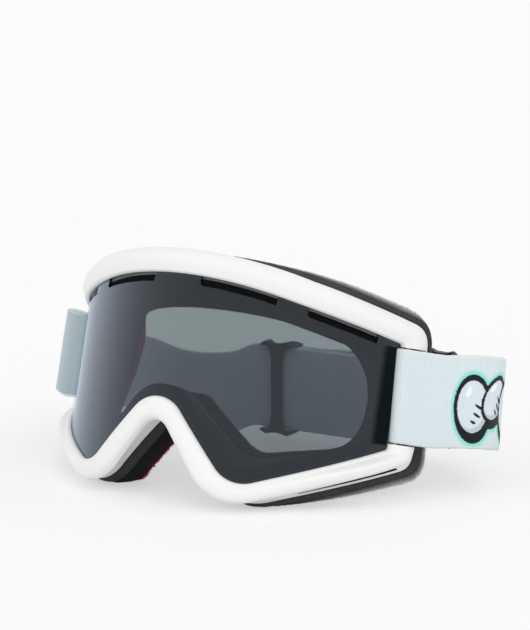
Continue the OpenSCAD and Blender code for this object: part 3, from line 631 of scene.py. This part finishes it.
# White frame
def rim_at(e, h, lift=1.0):
    """A point of the rim, which stands higher round the lower outer corners of the lens."""
    corner = (np.exp(-((np.abs(rim_l[:, 0]) - RISE_X) / RISE_WIDE) ** 2)
              * np.clip((RISE_Z - rim_l[:, 1]) / RISE_OVER, 0, 1))
    return rim_pt(e, 0) + (h + lift * CORNER_RISE * corner)[:, None] * unit(rim_pt(e, 1) - rim_pt(e, 0))


def frame_rows():
    outer = [step_pt(0, 1.1), step_pt(0.5, 2.1), step_pt(1.3, 2.7), rim_at(0.42, CREST_H - 0.1),
             rim_at(0.74, CREST_H - 0.5), rim_at(0.93, 1.9), rim_at(1, 0.2), rim_at(1, -1.6, 0.5),
             wall_pt(0.5, 0, -0.5), wall_pt(0.94, 0, -0.1)]
    rows = [step_pt(0, FIT)] + spline(outer, 5)
    rows += [mix(flange_pt(0, 0), flange_pt(WALL_T, 0), t) for t in (0.14, 0.5, 0.86)]
    rows += [wall_pt(0.94, WALL_T, -0.1), wall_pt(0.5, WALL_T, -0.5),
             step_pt(GROOVE_D, -LENS_T - 1.8), step_pt(GROOVE_D, FIT)]
    return posed(np.stack(rows, 1))


def slot_cutter(side):
    nt, nc, ns, nl = COUNTS[:4]
    first = nt + 2 * nc + ns
    ids = np.arange(first, first + nl * 6 // 8 + 1)
    q = (ids - first) / (len(ids) - 1)
    front, back = np.zeros(len(lens_l)), np.full(len(lens_l), 0.8)
    front[ids] = mix(0.24, 0.5, q)
    corners = [wall_pt(front, -2.5, -0.5), wall_pt(back, -2.5, -0.3),
               wall_pt(back, WALL_T + 1.2, -0.3), wall_pt(front, WALL_T + 1.2, -0.5)]
    rows = np.stack([c[ids] for c in corners], 1) * [side, 1, 1]
    bm = bmesh.new()
    add_grid(bm, posed(rows))
    return finish_mesh("cut_slot", bm)


def window_cutter(side):
    x, y = PIN_X, PIN_Y
    plan = [(x - 5, y - 6), (x + 6, y - 6), (x + 14, y + 9.2), (x - 1, y + 9.2), (x - 3.2, y + 3.2),
            (x - 3.5, y - 2.8)]
    return prism("cut_window", [(side * a, b) for a, b in plan], -WINDOW_HALF, WINDOW_HALF)


bm = bmesh.new()
add_grid(bm, frame_rows(), wrap_u=True)
shell = finish_mesh("goggle_frame", bm)
cut_away(shell, [f(s) for s in (1, -1) for f in (slot_cutter, window_cutter)]
         + [prism("cut_pin", circle(s * PIN_X, PIN_Y, PIN_R + 0.05), -PIN_HALF - 0.1, PIN_HALF + 0.1)
            for s in (1, -1)])
place(shell, "white", "frame", "frame_white", "frame_shell")


# Tinted lens with its vent notches
def notch_drop(s):
    """How far the top edge of the lens drops at arc length s."""
    s = abs(s)
    for lo, hi in NOTCHES:
        if lo <= s <= hi:
            edge = min(s - lo, hi - s, NOTCH_R)
            corner = math.sqrt(max(NOTCH_R ** 2 - (NOTCH_R - edge) ** 2, 0.0))
            return NOTCH_D + LENS_SEAT - NOTCH_R + corner
    return 0.0


def lens_rows():
    half = LENS_HALF - 0.5
    cols = set(np.round(np.arange(-half, half + 0.01, 1.0), 3)) | {half}
    for lo, hi in NOTCHES:
        for e, sign in ((lo, 1), (hi, -1)):
            for d in (-0.02, 0.0, 0.08, 0.25, 0.55, NOTCH_R):
                cols |= {e + sign * d, -(e + sign * d)}
    h = half_loop(LENS_CUT_P)
    low = h[COUNTS[0] + COUNTS[1] + COUNTS[2] + 1:][::-1]
    rows = []
    for s in sorted(cols):
        z1 = float(top_z(LENS_CUT_P, s)) - notch_drop(s)
        z0 = float(np.interp(abs(s), low[:, 0], low[:, 1]))
        z = np.linspace(z0, z1, 9)
        a = np.full(9, s / LENS_R)
        rows.append(np.concatenate([on_lens(a, z, 0.0), on_lens(a, z, -LENS_T)[::-1]]))
    return posed(np.array(rows))


bm = bmesh.new()
add_grid(bm, lens_rows())
place(finish_mesh("tinted_lens", bm), "tint", "frame", "lens_tint", "lens_outer")

# Face foam
near_nose = np.where(port_l[:, 2] < 0, np.exp(-(port_l[:, 0] / 20) ** 2), 0.0)
foam_f_out = flange_pt(-0.4, 0.3)
foam_f_in = flange_pt(np.linalg.norm(port_l - flange_l, axis=1) + mix(FOAM_IN, -1.5, near_nose), 0.3)
foam_away = unit(foam_f_out - foam_f_in)
face_q = loop(FACE_OUT_P)
outer_corner = (np.exp(-((TRIM_X - np.minimum(np.abs(face_q[:, 0]), TRIM_X)) / TRIM_WIDE) ** 2)
                * np.clip((np.abs(face_q[:, 1]) - TRIM_Z) / TRIM_OVER, 0, 1))
trim = np.stack([0 * outer_corner, 0 * outer_corner, np.sign(face_q[:, 1]) * outer_corner], -1)
foam_r_out = on_face(face_q) - CORNER_TRIM * trim
foam_r_in = on_face(loop(FACE_IN_P), INNER_DEEP, INNER_SLOPE)


def foam_out(t):
    return mix(foam_f_out, foam_r_out, t) + FOAM_BULGE * 4 * t * (1 - t) * foam_away


def foam_in(t):
    return mix(foam_f_in, foam_r_in, t)


at_nose = np.clip((42 - np.abs(face_q[:, 0])) / 8, 0, 1) * (face_q[:, 1] < 0)
foam_back = unit(foam_r_out - foam_f_out)


def hairiness(t):
    """How loose the outer side is at depth t, for each station, and how pale its painted sheen is there. The
    sides of the nose stay smooth."""
    return (1 - at_nose) * np.clip((t - 0.25) / 0.75, 0, 1) ** 1.5


def sow(count, sides, t_lo, t_hi, length, seed):
    """Roots, directions and lengths of hairs on the outer or inner side between two depths."""
    rng = np.random.default_rng(seed)
    n = len(foam_f_out)
    i = rng.integers(0, n, count)
    j, w = (i + 1) % n, rng.random(count)[:, None]
    t = mix(t_lo, t_hi, rng.random(count) ** 0.7)[:, None]
    front, rear = (foam_f_out, foam_r_out) if sides > 0 else (foam_f_in, foam_r_in)
    root = mix(mix(front[i], front[j], w), mix(rear[i], rear[j], w), t)
    root = root + sides * FOAM_BULGE * 4 * t * (1 - t) * foam_away[i] * (sides > 0)
    lean = foam_back[i] * t ** 4 * HAIR_LEAN
    way = unit(sides * foam_away[i] + lean + rng.normal(0, HAIR_SCATTER, (count, 3)))
    return i, t[:, 0], root - HAIR_ROOT * way, way, rng.uniform(*length, count)


def add_hair(bm, root, way, size, width):
    """Adds a thin closed spike at each root."""
    side = unit(np.cross(way, [0.31, 0.52, 0.79]))
    other = np.cross(way, side)
    ring = [root + width * (math.cos(a) * side + math.sin(a) * other) for a in (0, 2.094, 4.189)]
    points = posed(np.stack(ring + [root + way * size[:, None]], 1))
    points[..., 2] = np.maximum(points[..., 2], 0.0001)
    for a, b, c, tip in points:
        v = [bm.verts.new(q) for q in (a, b, c, tip)]
        for f in ((0, 2, 1), (0, 1, 3), (1, 2, 3), (2, 0, 3)):
            bm.faces.new([v[k] for k in f])


def foam_piece(name, t0, t1, puff, rough, crown, seed, hair):
    """One layer: its sides belly out between the glue lines, and crown rounds the edges of its face. hair
    lists the hairs to sow as (count, side, depths, lengths, pale level of painted sheen, skin)."""
    side_n, face_n = 9, 6
    face = 1.0 if crown else 0.0
    none, full = np.zeros(len(foam_away)), np.full(len(foam_away), face)
    rows, fuzz_sheen, skin = [], [], []
    for k in range(side_n):
        q = k / (side_n - 1)
        t = mix(t0, t1, q)
        rows.append(foam_out(t) + puff * math.sin(math.pi * q) ** 0.6 * foam_away)
        fuzz_sheen.append(hairiness(t))
        skin.append(at_nose * face * min(1, 2 * q))
    back = unit(foam_out(t1) - foam_out(t0))
    for k in range(1, face_n):
        q = k / face_n
        rows.append(mix(foam_out(t1), foam_in(t1), q) + back * crown * (math.sin(math.pi * q) ** 0.5 - 0.5))
        fuzz_sheen.append(hairiness(t1) * (0.4 if k == 1 else 0.0))
        skin.append(full * (0.75 if k == 1 else 1.0))
    for k in range(side_n):
        q = k / (side_n - 1)
        rows.append(foam_in(mix(t1, t0, q)) - puff * 0.7 * math.sin(math.pi * q) ** 0.6 * foam_away)
        fuzz_sheen.append(none)
        skin.append(full)
    if crown:
        sink, rear = back * crown * 0.7, side_n + face_n - 1
        rows[side_n - 1] = rows[side_n - 1] - sink - foam_away * 0.15
        rows[rear] = rows[rear] - sink + foam_away * 0.15
    for k in range(1, 3):
        rows.append(mix(foam_in(t0), foam_out(t0), k / 3))
        fuzz_sheen.append(none)
        skin.append(none)
    pts = posed(np.stack(rows, 1))
    flat = pts.reshape(-1, 3)
    for i, p in enumerate(flat):
        n = noise.noise_vector(Vector(p) * 420 + Vector((seed, 0, 0)))
        flat[i] = p + np.array(n) * rough * MM
    flat[:, 2] = np.maximum(flat[:, 2], 0.0)
    bm = bmesh.new()
    add_grid(bm, flat.reshape(pts.shape), wrap_u=True)
    marks = {"fuzz_sheen": [np.stack(fuzz_sheen, 1).ravel()], "skin": [np.stack(skin, 1).ravel()]}
    for k, (count, sides, depth, length, pale, red) in enumerate(hair):
        i, t, root, way, size = sow(count, sides, *depth, length, int(seed) * 10 + k)
        smooth_side = at_nose[i] if sides > 0 else 0 * t
        width = 0.075 + 0.08 * np.maximum(red, smooth_side * face)
        add_hair(bm, root, way, size * (1 - 0.2 * smooth_side), width[:, None])
        # Painted sheen: hairs away from the sides of the nose are marked pale, outer ones more so further
        # back, and most at their tips.
        level = np.where(smooth_side > 0.5, 0.0, pale * (np.clip((t - 0.2) / 0.8, 0, 1) if sides > 0 else 1))
        marks["fuzz_sheen"].append(np.repeat(level, 4) * np.tile([0.6, 0.6, 0.6, 1.0], count))
        marks["skin"].append(np.repeat(np.where(smooth_side > 0.5, face, red), 4))
    ob = finish_mesh(name, bm, 60)
    for key, values in marks.items():
        ob.data.attributes.new(key, "FLOAT", "POINT").data.foreach_set("value", np.concatenate(values))
    return ob


OUTER, INNER = 1, -1
foam_specs = (
    (("foam_grey_layer", 0.0, BACKING, 0.25, 0.16, 0.0, 1.0,
      ((900, INNER, (0.0, 0.25), (0.3, 0.8), 0.6, 0.0),)), "backing", "foam_backing", "foam_grey", 1.0),
    (("foam_black_layer", BACKING + 0.003, FLEECE - 0.003, 0.35, 0.18, 0.0, 5.0,
      ((6500, OUTER, (0.40, 0.86), (0.4, 1.1), 1.0, 0.0), (1200, INNER, (0.32, 0.86), (0.3, 0.8), 0.2, 0.0))),
     "core", "foam_core", "foam_black", 0.9),
    (("foam_fleece_layer", FLEECE, 1.0, 0.3, 0.22, 0.9, 9.0,
      ((6000, OUTER, (0.87, 1.0), (0.5, 1.5), 1.0, 0.0), (3600, INNER, (0.87, 1.0), (0.4, 1.2), 0.0, 1.0),
       (2400, OUTER, (0.98, 1.0), (0.9, 1.8), 1.0, 0.0))),
     "fleece", "foam_fleece", "fleece_maroon", 0.8))
for spec, mat, node, slot, fill in foam_specs:
    place(foam_piece(*spec), mat, "frame", slot, node)


# Strap
LOOP_END, FOLD_B_END, FOLD_A_END = 16.0, 10.0, 9.0


def resample(path, gap=0.9):
    path = np.array(path, float)
    d = np.concatenate([[0], np.cumsum(np.linalg.norm(np.diff(path, axis=0), axis=1))])
    at = np.linspace(0, d[-1], max(int(d[-1] / gap), 8) + 1)
    return np.stack([np.interp(at, d, path[:, k]) for k in range(3)], 1), at


def smooth(path, times=3):
    for _ in range(times):
        path[1:-1] = 0.5 * path[1:-1] + 0.25 * (path[:-2] + path[2:])
    return path


def add_seam(bm, layer, at, along, across, side):
    """A row of stitches over the strap, on both its faces, at a point of its middle line."""
    for face in (1, -1):
        for k in range(SEAM_COUNT):
            z = (k + 0.5) / SEAM_COUNT * (STRAP_W - 4) - STRAP_W / 2 + 2
            middle = at + across * z + face * side * (STRAP_T / 2 + 0.02)
            rows = []
            for d, r in ((-0.62, 0.08), (-0.4, 0.2), (0.4, 0.2), (0.62, 0.08)):
                way = unit(across + 0.35 * along)
                flat = np.cross(way, side)
                rows.append([middle + way * d + r * (math.cos(a) * flat + math.sin(a) * side)
                             for a in np.radians(range(0, 360, 60))])
            n = len(bm.faces)
            add_grid(bm, posed(rows))
            bm.faces.ensure_lookup_table()
            for f in bm.faces[n:]:
                for lp in f.loops:
                    lp[layer].uv = (0.001, 0.985 if face > 0 else 1.985)


def band(name, path, outside=1, pull=0.0, seams=()):
    """A knitted band along path (x, y, strap middle z), with rounded selvedges. outside is the side of the
    direction of travel that shows when the goggles are worn. The upper corner of its first fold is drawn
    towards the lens by pull. seams are sewn across it at these distances from its end."""
    path, at = resample(path)
    path = smooth(path)
    across = strap_up(path[:, 1])
    side = unit(np.cross(np.gradient(path, axis=0), across)) * outside
    nw, half, r = 22, STRAP_W / 2, STRAP_T / 2
    prof, vs = [], []
    for face, v0 in ((1, 0.02), (-1, 1.02)):
        for k in range(nw + 1):
            q = k / nw
            prof.append((face * r, face * (-half + r + (STRAP_W - 2 * r) * q)))
            vs.append(v0 + 0.96 * q)
        for k in (1, 2, 3):
            a = math.pi * k / 4
            prof.append((face * r * math.cos(a), face * (half - r + r * math.sin(a))))
            vs.append(v0 + 0.96 + 0.01 * k)
    vs.append(2.02)
    rows, uvs = [], []
    fold_at = LOOP_END + PULL_AT
    for i, p in enumerate(path):
        row = []
        drawn = pull * max(0.0, 1 - abs(at[i] - fold_at) / PULL_REACH) * np.array([-0.707, -0.707, 0])
        for off, z in prof:
            ripple = RIPPLE * noise.noise(Vector((at[i] * 0.06, z * 0.05, 3.0)))
            pluck = 0.12 * noise.noise(Vector((at[i] * 0.9, z * 0.02, 8.0))) if abs(z) > half - r else 0.0
            row.append(p + side[i] * (off + ripple) + across[i] * (z + pluck) + drawn * (z / STRAP_W + 0.5))
        rows.append(row)
        uvs.append([(at[i] * MM, v) for v in vs])
    bm = bmesh.new()
    pts = posed(rows)
    pts[..., 2] = np.maximum(pts[..., 2], 0.0002)
    add_grid(bm, pts, uv=uvs)
    for back in seams:
        i = int(np.argmin(np.abs(at - at[-1] + back)))
        along = unit(path[i + 1] - path[i - 1])
        add_seam(bm, bm.loops.layers.uv.verify(), path[i], along, across[i], side[i])
    return finish_mesh(name, bm, 60), at[-1] * MM


def fold_points(bar, ang, join, end, r=PIN_R + 0.1, backwards=False):
    """Plan points of a folded end round a bar, from the sewn inner layer round to the outer layer. ang is the
    leaving direction from +Y towards +X, and the outer layer lies to the right of the inward end."""
    rc, t = r + STRAP_T / 2, STRAP_T / 2
    local = [(end, t), (mix(end, join, 0.5), t), (join, t), (mix(join, 0, 0.45), mix(t, rc, 0.55))]
    local += [(rc * math.cos(a), rc * math.sin(a)) for a in np.radians(np.linspace(75, 285, 15))]
    local += [(mix(join, 0, 0.45), -mix(t, rc, 0.55)), (join, -t), (mix(end, join, 0.5), -t), (end, -t)]
    if backwards:
        local = local[::-1]
    c, s = math.cos(math.pi / 2 - ang), math.sin(math.pi / 2 - ang)
    return [(bar[0] + c * x - s * y, bar[1] + s * x + c * y) for x, y in local]


def lift(points, z):
    return [(x, y, z) for x, y in points]


def leave(bar, ang, d):
    """Plan point of a fold's outer layer at this distance from its bar."""
    return (bar[0] + d * math.sin(ang) + STRAP_T / 2 * math.cos(ang),
            bar[1] + d * math.cos(ang) - STRAP_T / 2 * math.sin(ang))


PIN, bar_b = (PIN_X, PIN_Y), (SECOND_X + 6, REAR_Y)
right_side = [(*leave(PIN, LEAVE_R, LOOP_END + 0.1), 0), (*leave(PIN, LEAVE_R, LOOP_END + 5), 0.8),
              (BULGE_R - 5, PIN_Y + 21.5, 2.2), (BULGE_R - 1.4, PIN_Y + 27.5, 2.7),
              (BULGE_R - 0.9, PIN_Y + 34.5, 3), (BULGE_R - 2.6, REAR_Y - 22, 3),
              (BULGE_R - 8.6, REAR_Y - 15.4, 2.8), (BULGE_R - 18, REAR_Y - 9.9, 2.3),
              *(stood((*leave(bar_b, FOLD_B_ANG, FOLD_B_END + d), SECOND_Z)) for d in (4, 0.3))]
right_path = lift(fold_points(PIN, LEAVE_R, 9, LOOP_END), 0)
right_path += [tuple(p) for p in spline(right_side, 6)]
right_path += [stood(p) for p in
               lift(fold_points(bar_b, FOLD_B_ANG, 6, FOLD_B_END, BAR_R + 0.1, True), SECOND_Z)]

LEFT_END = BULGE_L - 27
left_side = [(*leave(PIN, LEAVE_L, LOOP_END + 0.1), 0), (*leave(PIN, LEAVE_L, LOOP_END + 5), 0.8),
             (BULGE_L - 8.6, PIN_Y + 16.1, 2), (BULGE_L - 2.6, PIN_Y + 23.5, 2.6),
             (BULGE_L - 0.9, PIN_Y + 31.5, 3), (BULGE_L - 2.8, REAR_Y - 24.4, 2.6),
             (BULGE_L - 9.6, REAR_Y - 17.6, 1.3), (BULGE_L - 18, REAR_Y - 12.1, -0.8),
             stood((LEFT_END + 0.3, REAR_Y - 8.3, -2))]
left_path = lift(fold_points(PIN, LEAVE_L, 9, LOOP_END), 0)
left_path += [tuple(p) for p in spline(left_side, 6)]
dip_y = REAR_Y - 1.2
dip_z = FLOOR_Z + REAR_Y * math.sin(LEAN) + REAR_Z * (1 - math.cos(LEAN)) + STRAP_W / 2 - 0.1
turn_c = (SECOND_X - 6, REAR_Y + TURN_R)
rear = [tuple(p) for p in spline([(-LEFT_END, REAR_Y - 8.15, -2.1), (8 - LEFT_END, REAR_Y - 5.3, dip_z + 5),
                                  (18 - LEFT_END, REAR_Y - 2.8, dip_z + 1.4), (30 - LEFT_END, dip_y, dip_z),
                                  (42 - LEFT_END, REAR_Y - 0.3, dip_z + 0.8), (-40, REAR_Y, dip_z + 2.9),
                                  (-31, REAR_Y, REAR_Z - 0.3), (-20, REAR_Y, REAR_Z)], 6)]
rear += [(10, REAR_Y, REAR_Z), (36, REAR_Y, REAR_Z), (42, REAR_Y, mix(REAR_Z, SECOND_Z, 0.16)),
         (48, REAR_Y, mix(REAR_Z, SECOND_Z, 0.5)), (54, REAR_Y, mix(REAR_Z, SECOND_Z, 0.84)),
         (60, REAR_Y, SECOND_Z)]
rear += [(turn_c[0] + TURN_R * math.cos(a), turn_c[1] + TURN_R * math.sin(a), SECOND_Z)
         for a in np.radians(np.linspace(-90, 90, 13))]
rear = [stood(p) for p in rear + [(60, REAR_Y + 2 * TURN_R, SECOND_Z)]]
bar_a = (SLIDE_X + BAR_GAP, REAR_Y + OUT_Y)
back_layer = [(59.7, REAR_Y + 2 * TURN_R, SECOND_Z), (54, REAR_Y + 2 * TURN_R + 0.5, SECOND_Z),
              (44, REAR_Y + 7.4, REAR_Z + 2.4), (30, REAR_Y + 8.6, REAR_Z + 0.6), (14, REAR_Y + 8.2, REAR_Z),
              (bar_a[0] + FOLD_A_END + 6, bar_a[1] + 1.8, REAR_Z),
              (bar_a[0] + FOLD_A_END + 0.3, bar_a[1] + STRAP_T / 2, REAR_Z)]
return_path = [tuple(p) for p in spline(back_layer, 6)]
return_path += lift(fold_points(bar_a, math.pi / 2, 6, FOLD_A_END, BAR_R + 0.1), REAR_Z)
return_path = [stood(p) for p in return_path]


def declare_strap(ob, length, mat, slot, held, nodes, bodies, start, end):
    dress(ob, mat)
    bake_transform(ob)
    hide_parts(*nodes)


SIDE_BLEND = {"start": (0.0, 0.0085, 0.0), "end": (0.0, 0.0465, 0.0)}
ob, length = band("strap_right_band", right_path, outside=1, pull=PULL,
                  seams=(SEAM_BACK, SEAM_BACK + SEAM_GAP))
declare_strap(ob, length, "knit_motif", "strap_elastic", "stretched",
              ("strap_loop_right", "strap_side_right", "strap_fold_b"), ("frame", "strap_rear"), **SIDE_BLEND)
mirrored = [(-x, y, z) for x, y, z in left_path]
ob, length = band("strap_left_band", mirrored + rear, outside=-1)
declare_strap(ob, length, "knit_painted_shade", "strap_elastic", "stretched",
              ("strap_loop_left", "strap_side_left", "strap_rear"), ("frame", "strap_rear"), **SIDE_BLEND)
ob, length = band("strap_return_band", return_path, outside=-1, seams=(SEAM_BACK, SEAM_BACK + SEAM_GAP))
declare_strap(ob, length, "knit", "strap_elastic", "folded", ("strap_return", "strap_fold_a"),
              ("strap_rear", "slider_a"), start=(0.0617, 0.0, 0.0), end=(0.0045, 0.0, 0.0))


# Sliders
def tube(bm, x, y, z0, z1, r, flat=0.0, flare=0.0, n=28):
    """An upright bar, round or with a flat between two round edges, which widens by flare at both ends."""
    rows = []
    ends = [(0.0, r - 0.25), (0.25, r)] + [(d, r) for d in (1.2, 2.4, 3.8, 5.6, 8.0)]
    steps = [(z0 + d, q, d) for d, q in ends] + [(z1 - d, q, d) for d, q in ends[::-1]]
    for z, q, d in steps:
        wide = flat + flare * max(0.0, 1 - d / 8) ** 2
        ring = circle(0, 0, q, n)
        rows.append(posed([stood((x + a + math.copysign(wide / 2, a) * (abs(a) > 1e-6), y + b, z))
                           for a, b in ring]))
    add_grid(bm, rows)


def rail(bm, xs, middle, half, z_low, z_top, flip, at, face=None):
    """A curved end rail: middle(x) is its plan line, z_low and z_top(x) its edges, with rounded corners. With
    face, its front is straight there."""
    rows = []
    for x in xs:
        y, lo, hi = middle(x), z_low, z_top(x)
        hi = max(hi, lo + 0.3)
        c = min(0.5, (hi - lo) / 3)
        front = -half if face is None else face - half - y
        sec = [(front, lo), (half, lo), (half, hi - c), (half - 0.3 * c, hi - 0.3 * c), (half - c, hi),
               (front + c, hi), (front + 0.3 * c, hi - 0.3 * c), (front, hi - c)]
        rows.append([stood((at[0] + x, at[1] + y + a, at[2] + flip * b)) for a, b in sec])
    add_grid(bm, posed(rows))


rail_z = STRAP_W / 2 + 0.35
mid_y = -STRAP_T / 2 - 0.35 - BAR_R


def arch(x):
    return min(mid_y + (OUT_Y - mid_y) * (x / BAR_GAP) ** 2, OUT_Y + 1.2)


def saddle(half, tip, dip):
    """Height of a rail over its length: two humps with a dip between them, and a slope to thin ends."""
    xs, zs = (0, 0.28, 0.6, 0.7, 0.9, 1.0), (dip, mix(dip, tip, 0.25), tip, 0.9 * tip, 0.35 * tip, 0.3)
    return lambda x: float(np.interp(abs(x) / half, xs, zs))


def horns(half, tip, dip):
    """Height of a rail over its length: low at the ends and the middle, with a horn near each end."""
    xs = (0, 3.2, half - 3.2, half - 1.7, half - 0.3, half)
    return lambda x: float(np.interp(abs(x), xs, (dip, dip, tip - 0.2, tip, dip - 0.2, 0.3)))


bm = bmesh.new()
top = saddle(SLIDE_HALF, HUMP_A, DIP_A)
at = (SLIDE_X, REAR_Y, REAR_Z)
for flip in (1, -1):
    rail(bm, np.linspace(-SLIDE_HALF, SLIDE_HALF, 61), arch, RAIL_A, rail_z, lambda x: rail_z + top(x),
         flip, at, mid_y)
bar_z = rail_z + BAR_MORE
for x, y, flat, flare in ((0, mid_y, MID_W - 2 * BAR_R, 5.5), (BAR_GAP, OUT_Y, 0, 0),
                          (-BAR_GAP, OUT_Y, 0, 0)):
    tube(bm, at[0] + x, at[1] + y, at[2] - bar_z, at[2] + bar_z, BAR_R, flat, flare)
place(finish_mesh("strap_slider_a", bm), "slider", "slider_a", "slider_black", "slider_a")

bm = bmesh.new()
top = horns(HALF_B, HUMP_B, DIP_B)
at = (turn_c[0], turn_c[1], SECOND_Z)
for flip in (1, -1):
    rail(bm, np.linspace(-OVER_B, BARS_B + OVER_B, 41), lambda x: -TURN_R * min(max(x / BARS_B, 0), 1),
         RAIL_B, rail_z, lambda x: rail_z + top(x - BARS_B / 2), flip, at)
for x, y in ((0, 0), (BARS_B, -TURN_R)):
    tube(bm, at[0] + x, at[1] + y, at[2] - bar_z, at[2] + bar_z, BAR_R)
place(finish_mesh("strap_slider_b", bm), "slider", "strap_rear", "slider_black", "slider_b")

# Table, light and camera
bm = bmesh.new()
add_grid(bm, [[(-TABLE, y, 0), (TABLE, y, 0)] for y in (-TABLE, TABLE)], wrap_v=False)
floor = finish_mesh("table_top", bm)
floor.data.materials.append(floor_material())

scene = bpy.context.scene
world = bpy.data.worlds.new("studio")
scene.world = world
world.use_nodes = True
sky = Nodes(world.node_tree)
rays = sky.add("LightPath").outputs
seen = sky.math("MAXIMUM", rays["Is Camera Ray"], rays["Is Glossy Ray"])
seen = sky.math("MAXIMUM", seen, rays["Is Transmission Ray"])
level = sky.add("MapRange", {"Value": seen, "To Min": WORLD_LIGHT, "To Max": 1.0})
glow = sky.add("Background", {"Color": (1, 1, 1), "Strength": level})
sky.add("OutputWorld", {"Surface": glow})


def aim(ob, azimuth, elevation):
    """Turns ob to look at the goggles from this side, in degrees, and adds it to the scene. Azimuth runs
    from the front towards +X."""
    a, e = math.radians(azimuth), math.radians(elevation)
    look = Vector((-math.sin(a) * math.cos(e), math.cos(a) * math.cos(e), -math.sin(e)))
    ob.rotation_euler = look.to_track_quat("-Z", "Y").to_euler()
    scene.collection.objects.link(ob)


def soft_sun(name, azimuth, elevation, spread, strength):
    """A wide soft lamp that doesn't show in reflections."""
    lamp = bpy.data.lights.new(name, "SUN")
    lamp.angle, lamp.energy = math.radians(spread), strength
    ob = bpy.data.objects.new(name, lamp)
    ob.visible_glossy = False
    aim(ob, azimuth, elevation)


for name, lamp in LAMPS.items():
    soft_sun(name, *lamp)

cam = bpy.data.cameras.new("camera")
cam.sensor_fit, cam.sensor_height, cam.lens = "VERTICAL", CAMERA_SENSOR, CAMERA_LENS
cam_ob = bpy.data.objects.new("camera", cam)
cam_ob.location = CAMERA_AT
aim(cam_ob, CAMERA_AZ, CAMERA_EL)
cam.clip_start = 0.01
scene.camera = cam_ob
scene.view_settings.view_transform = "Standard"
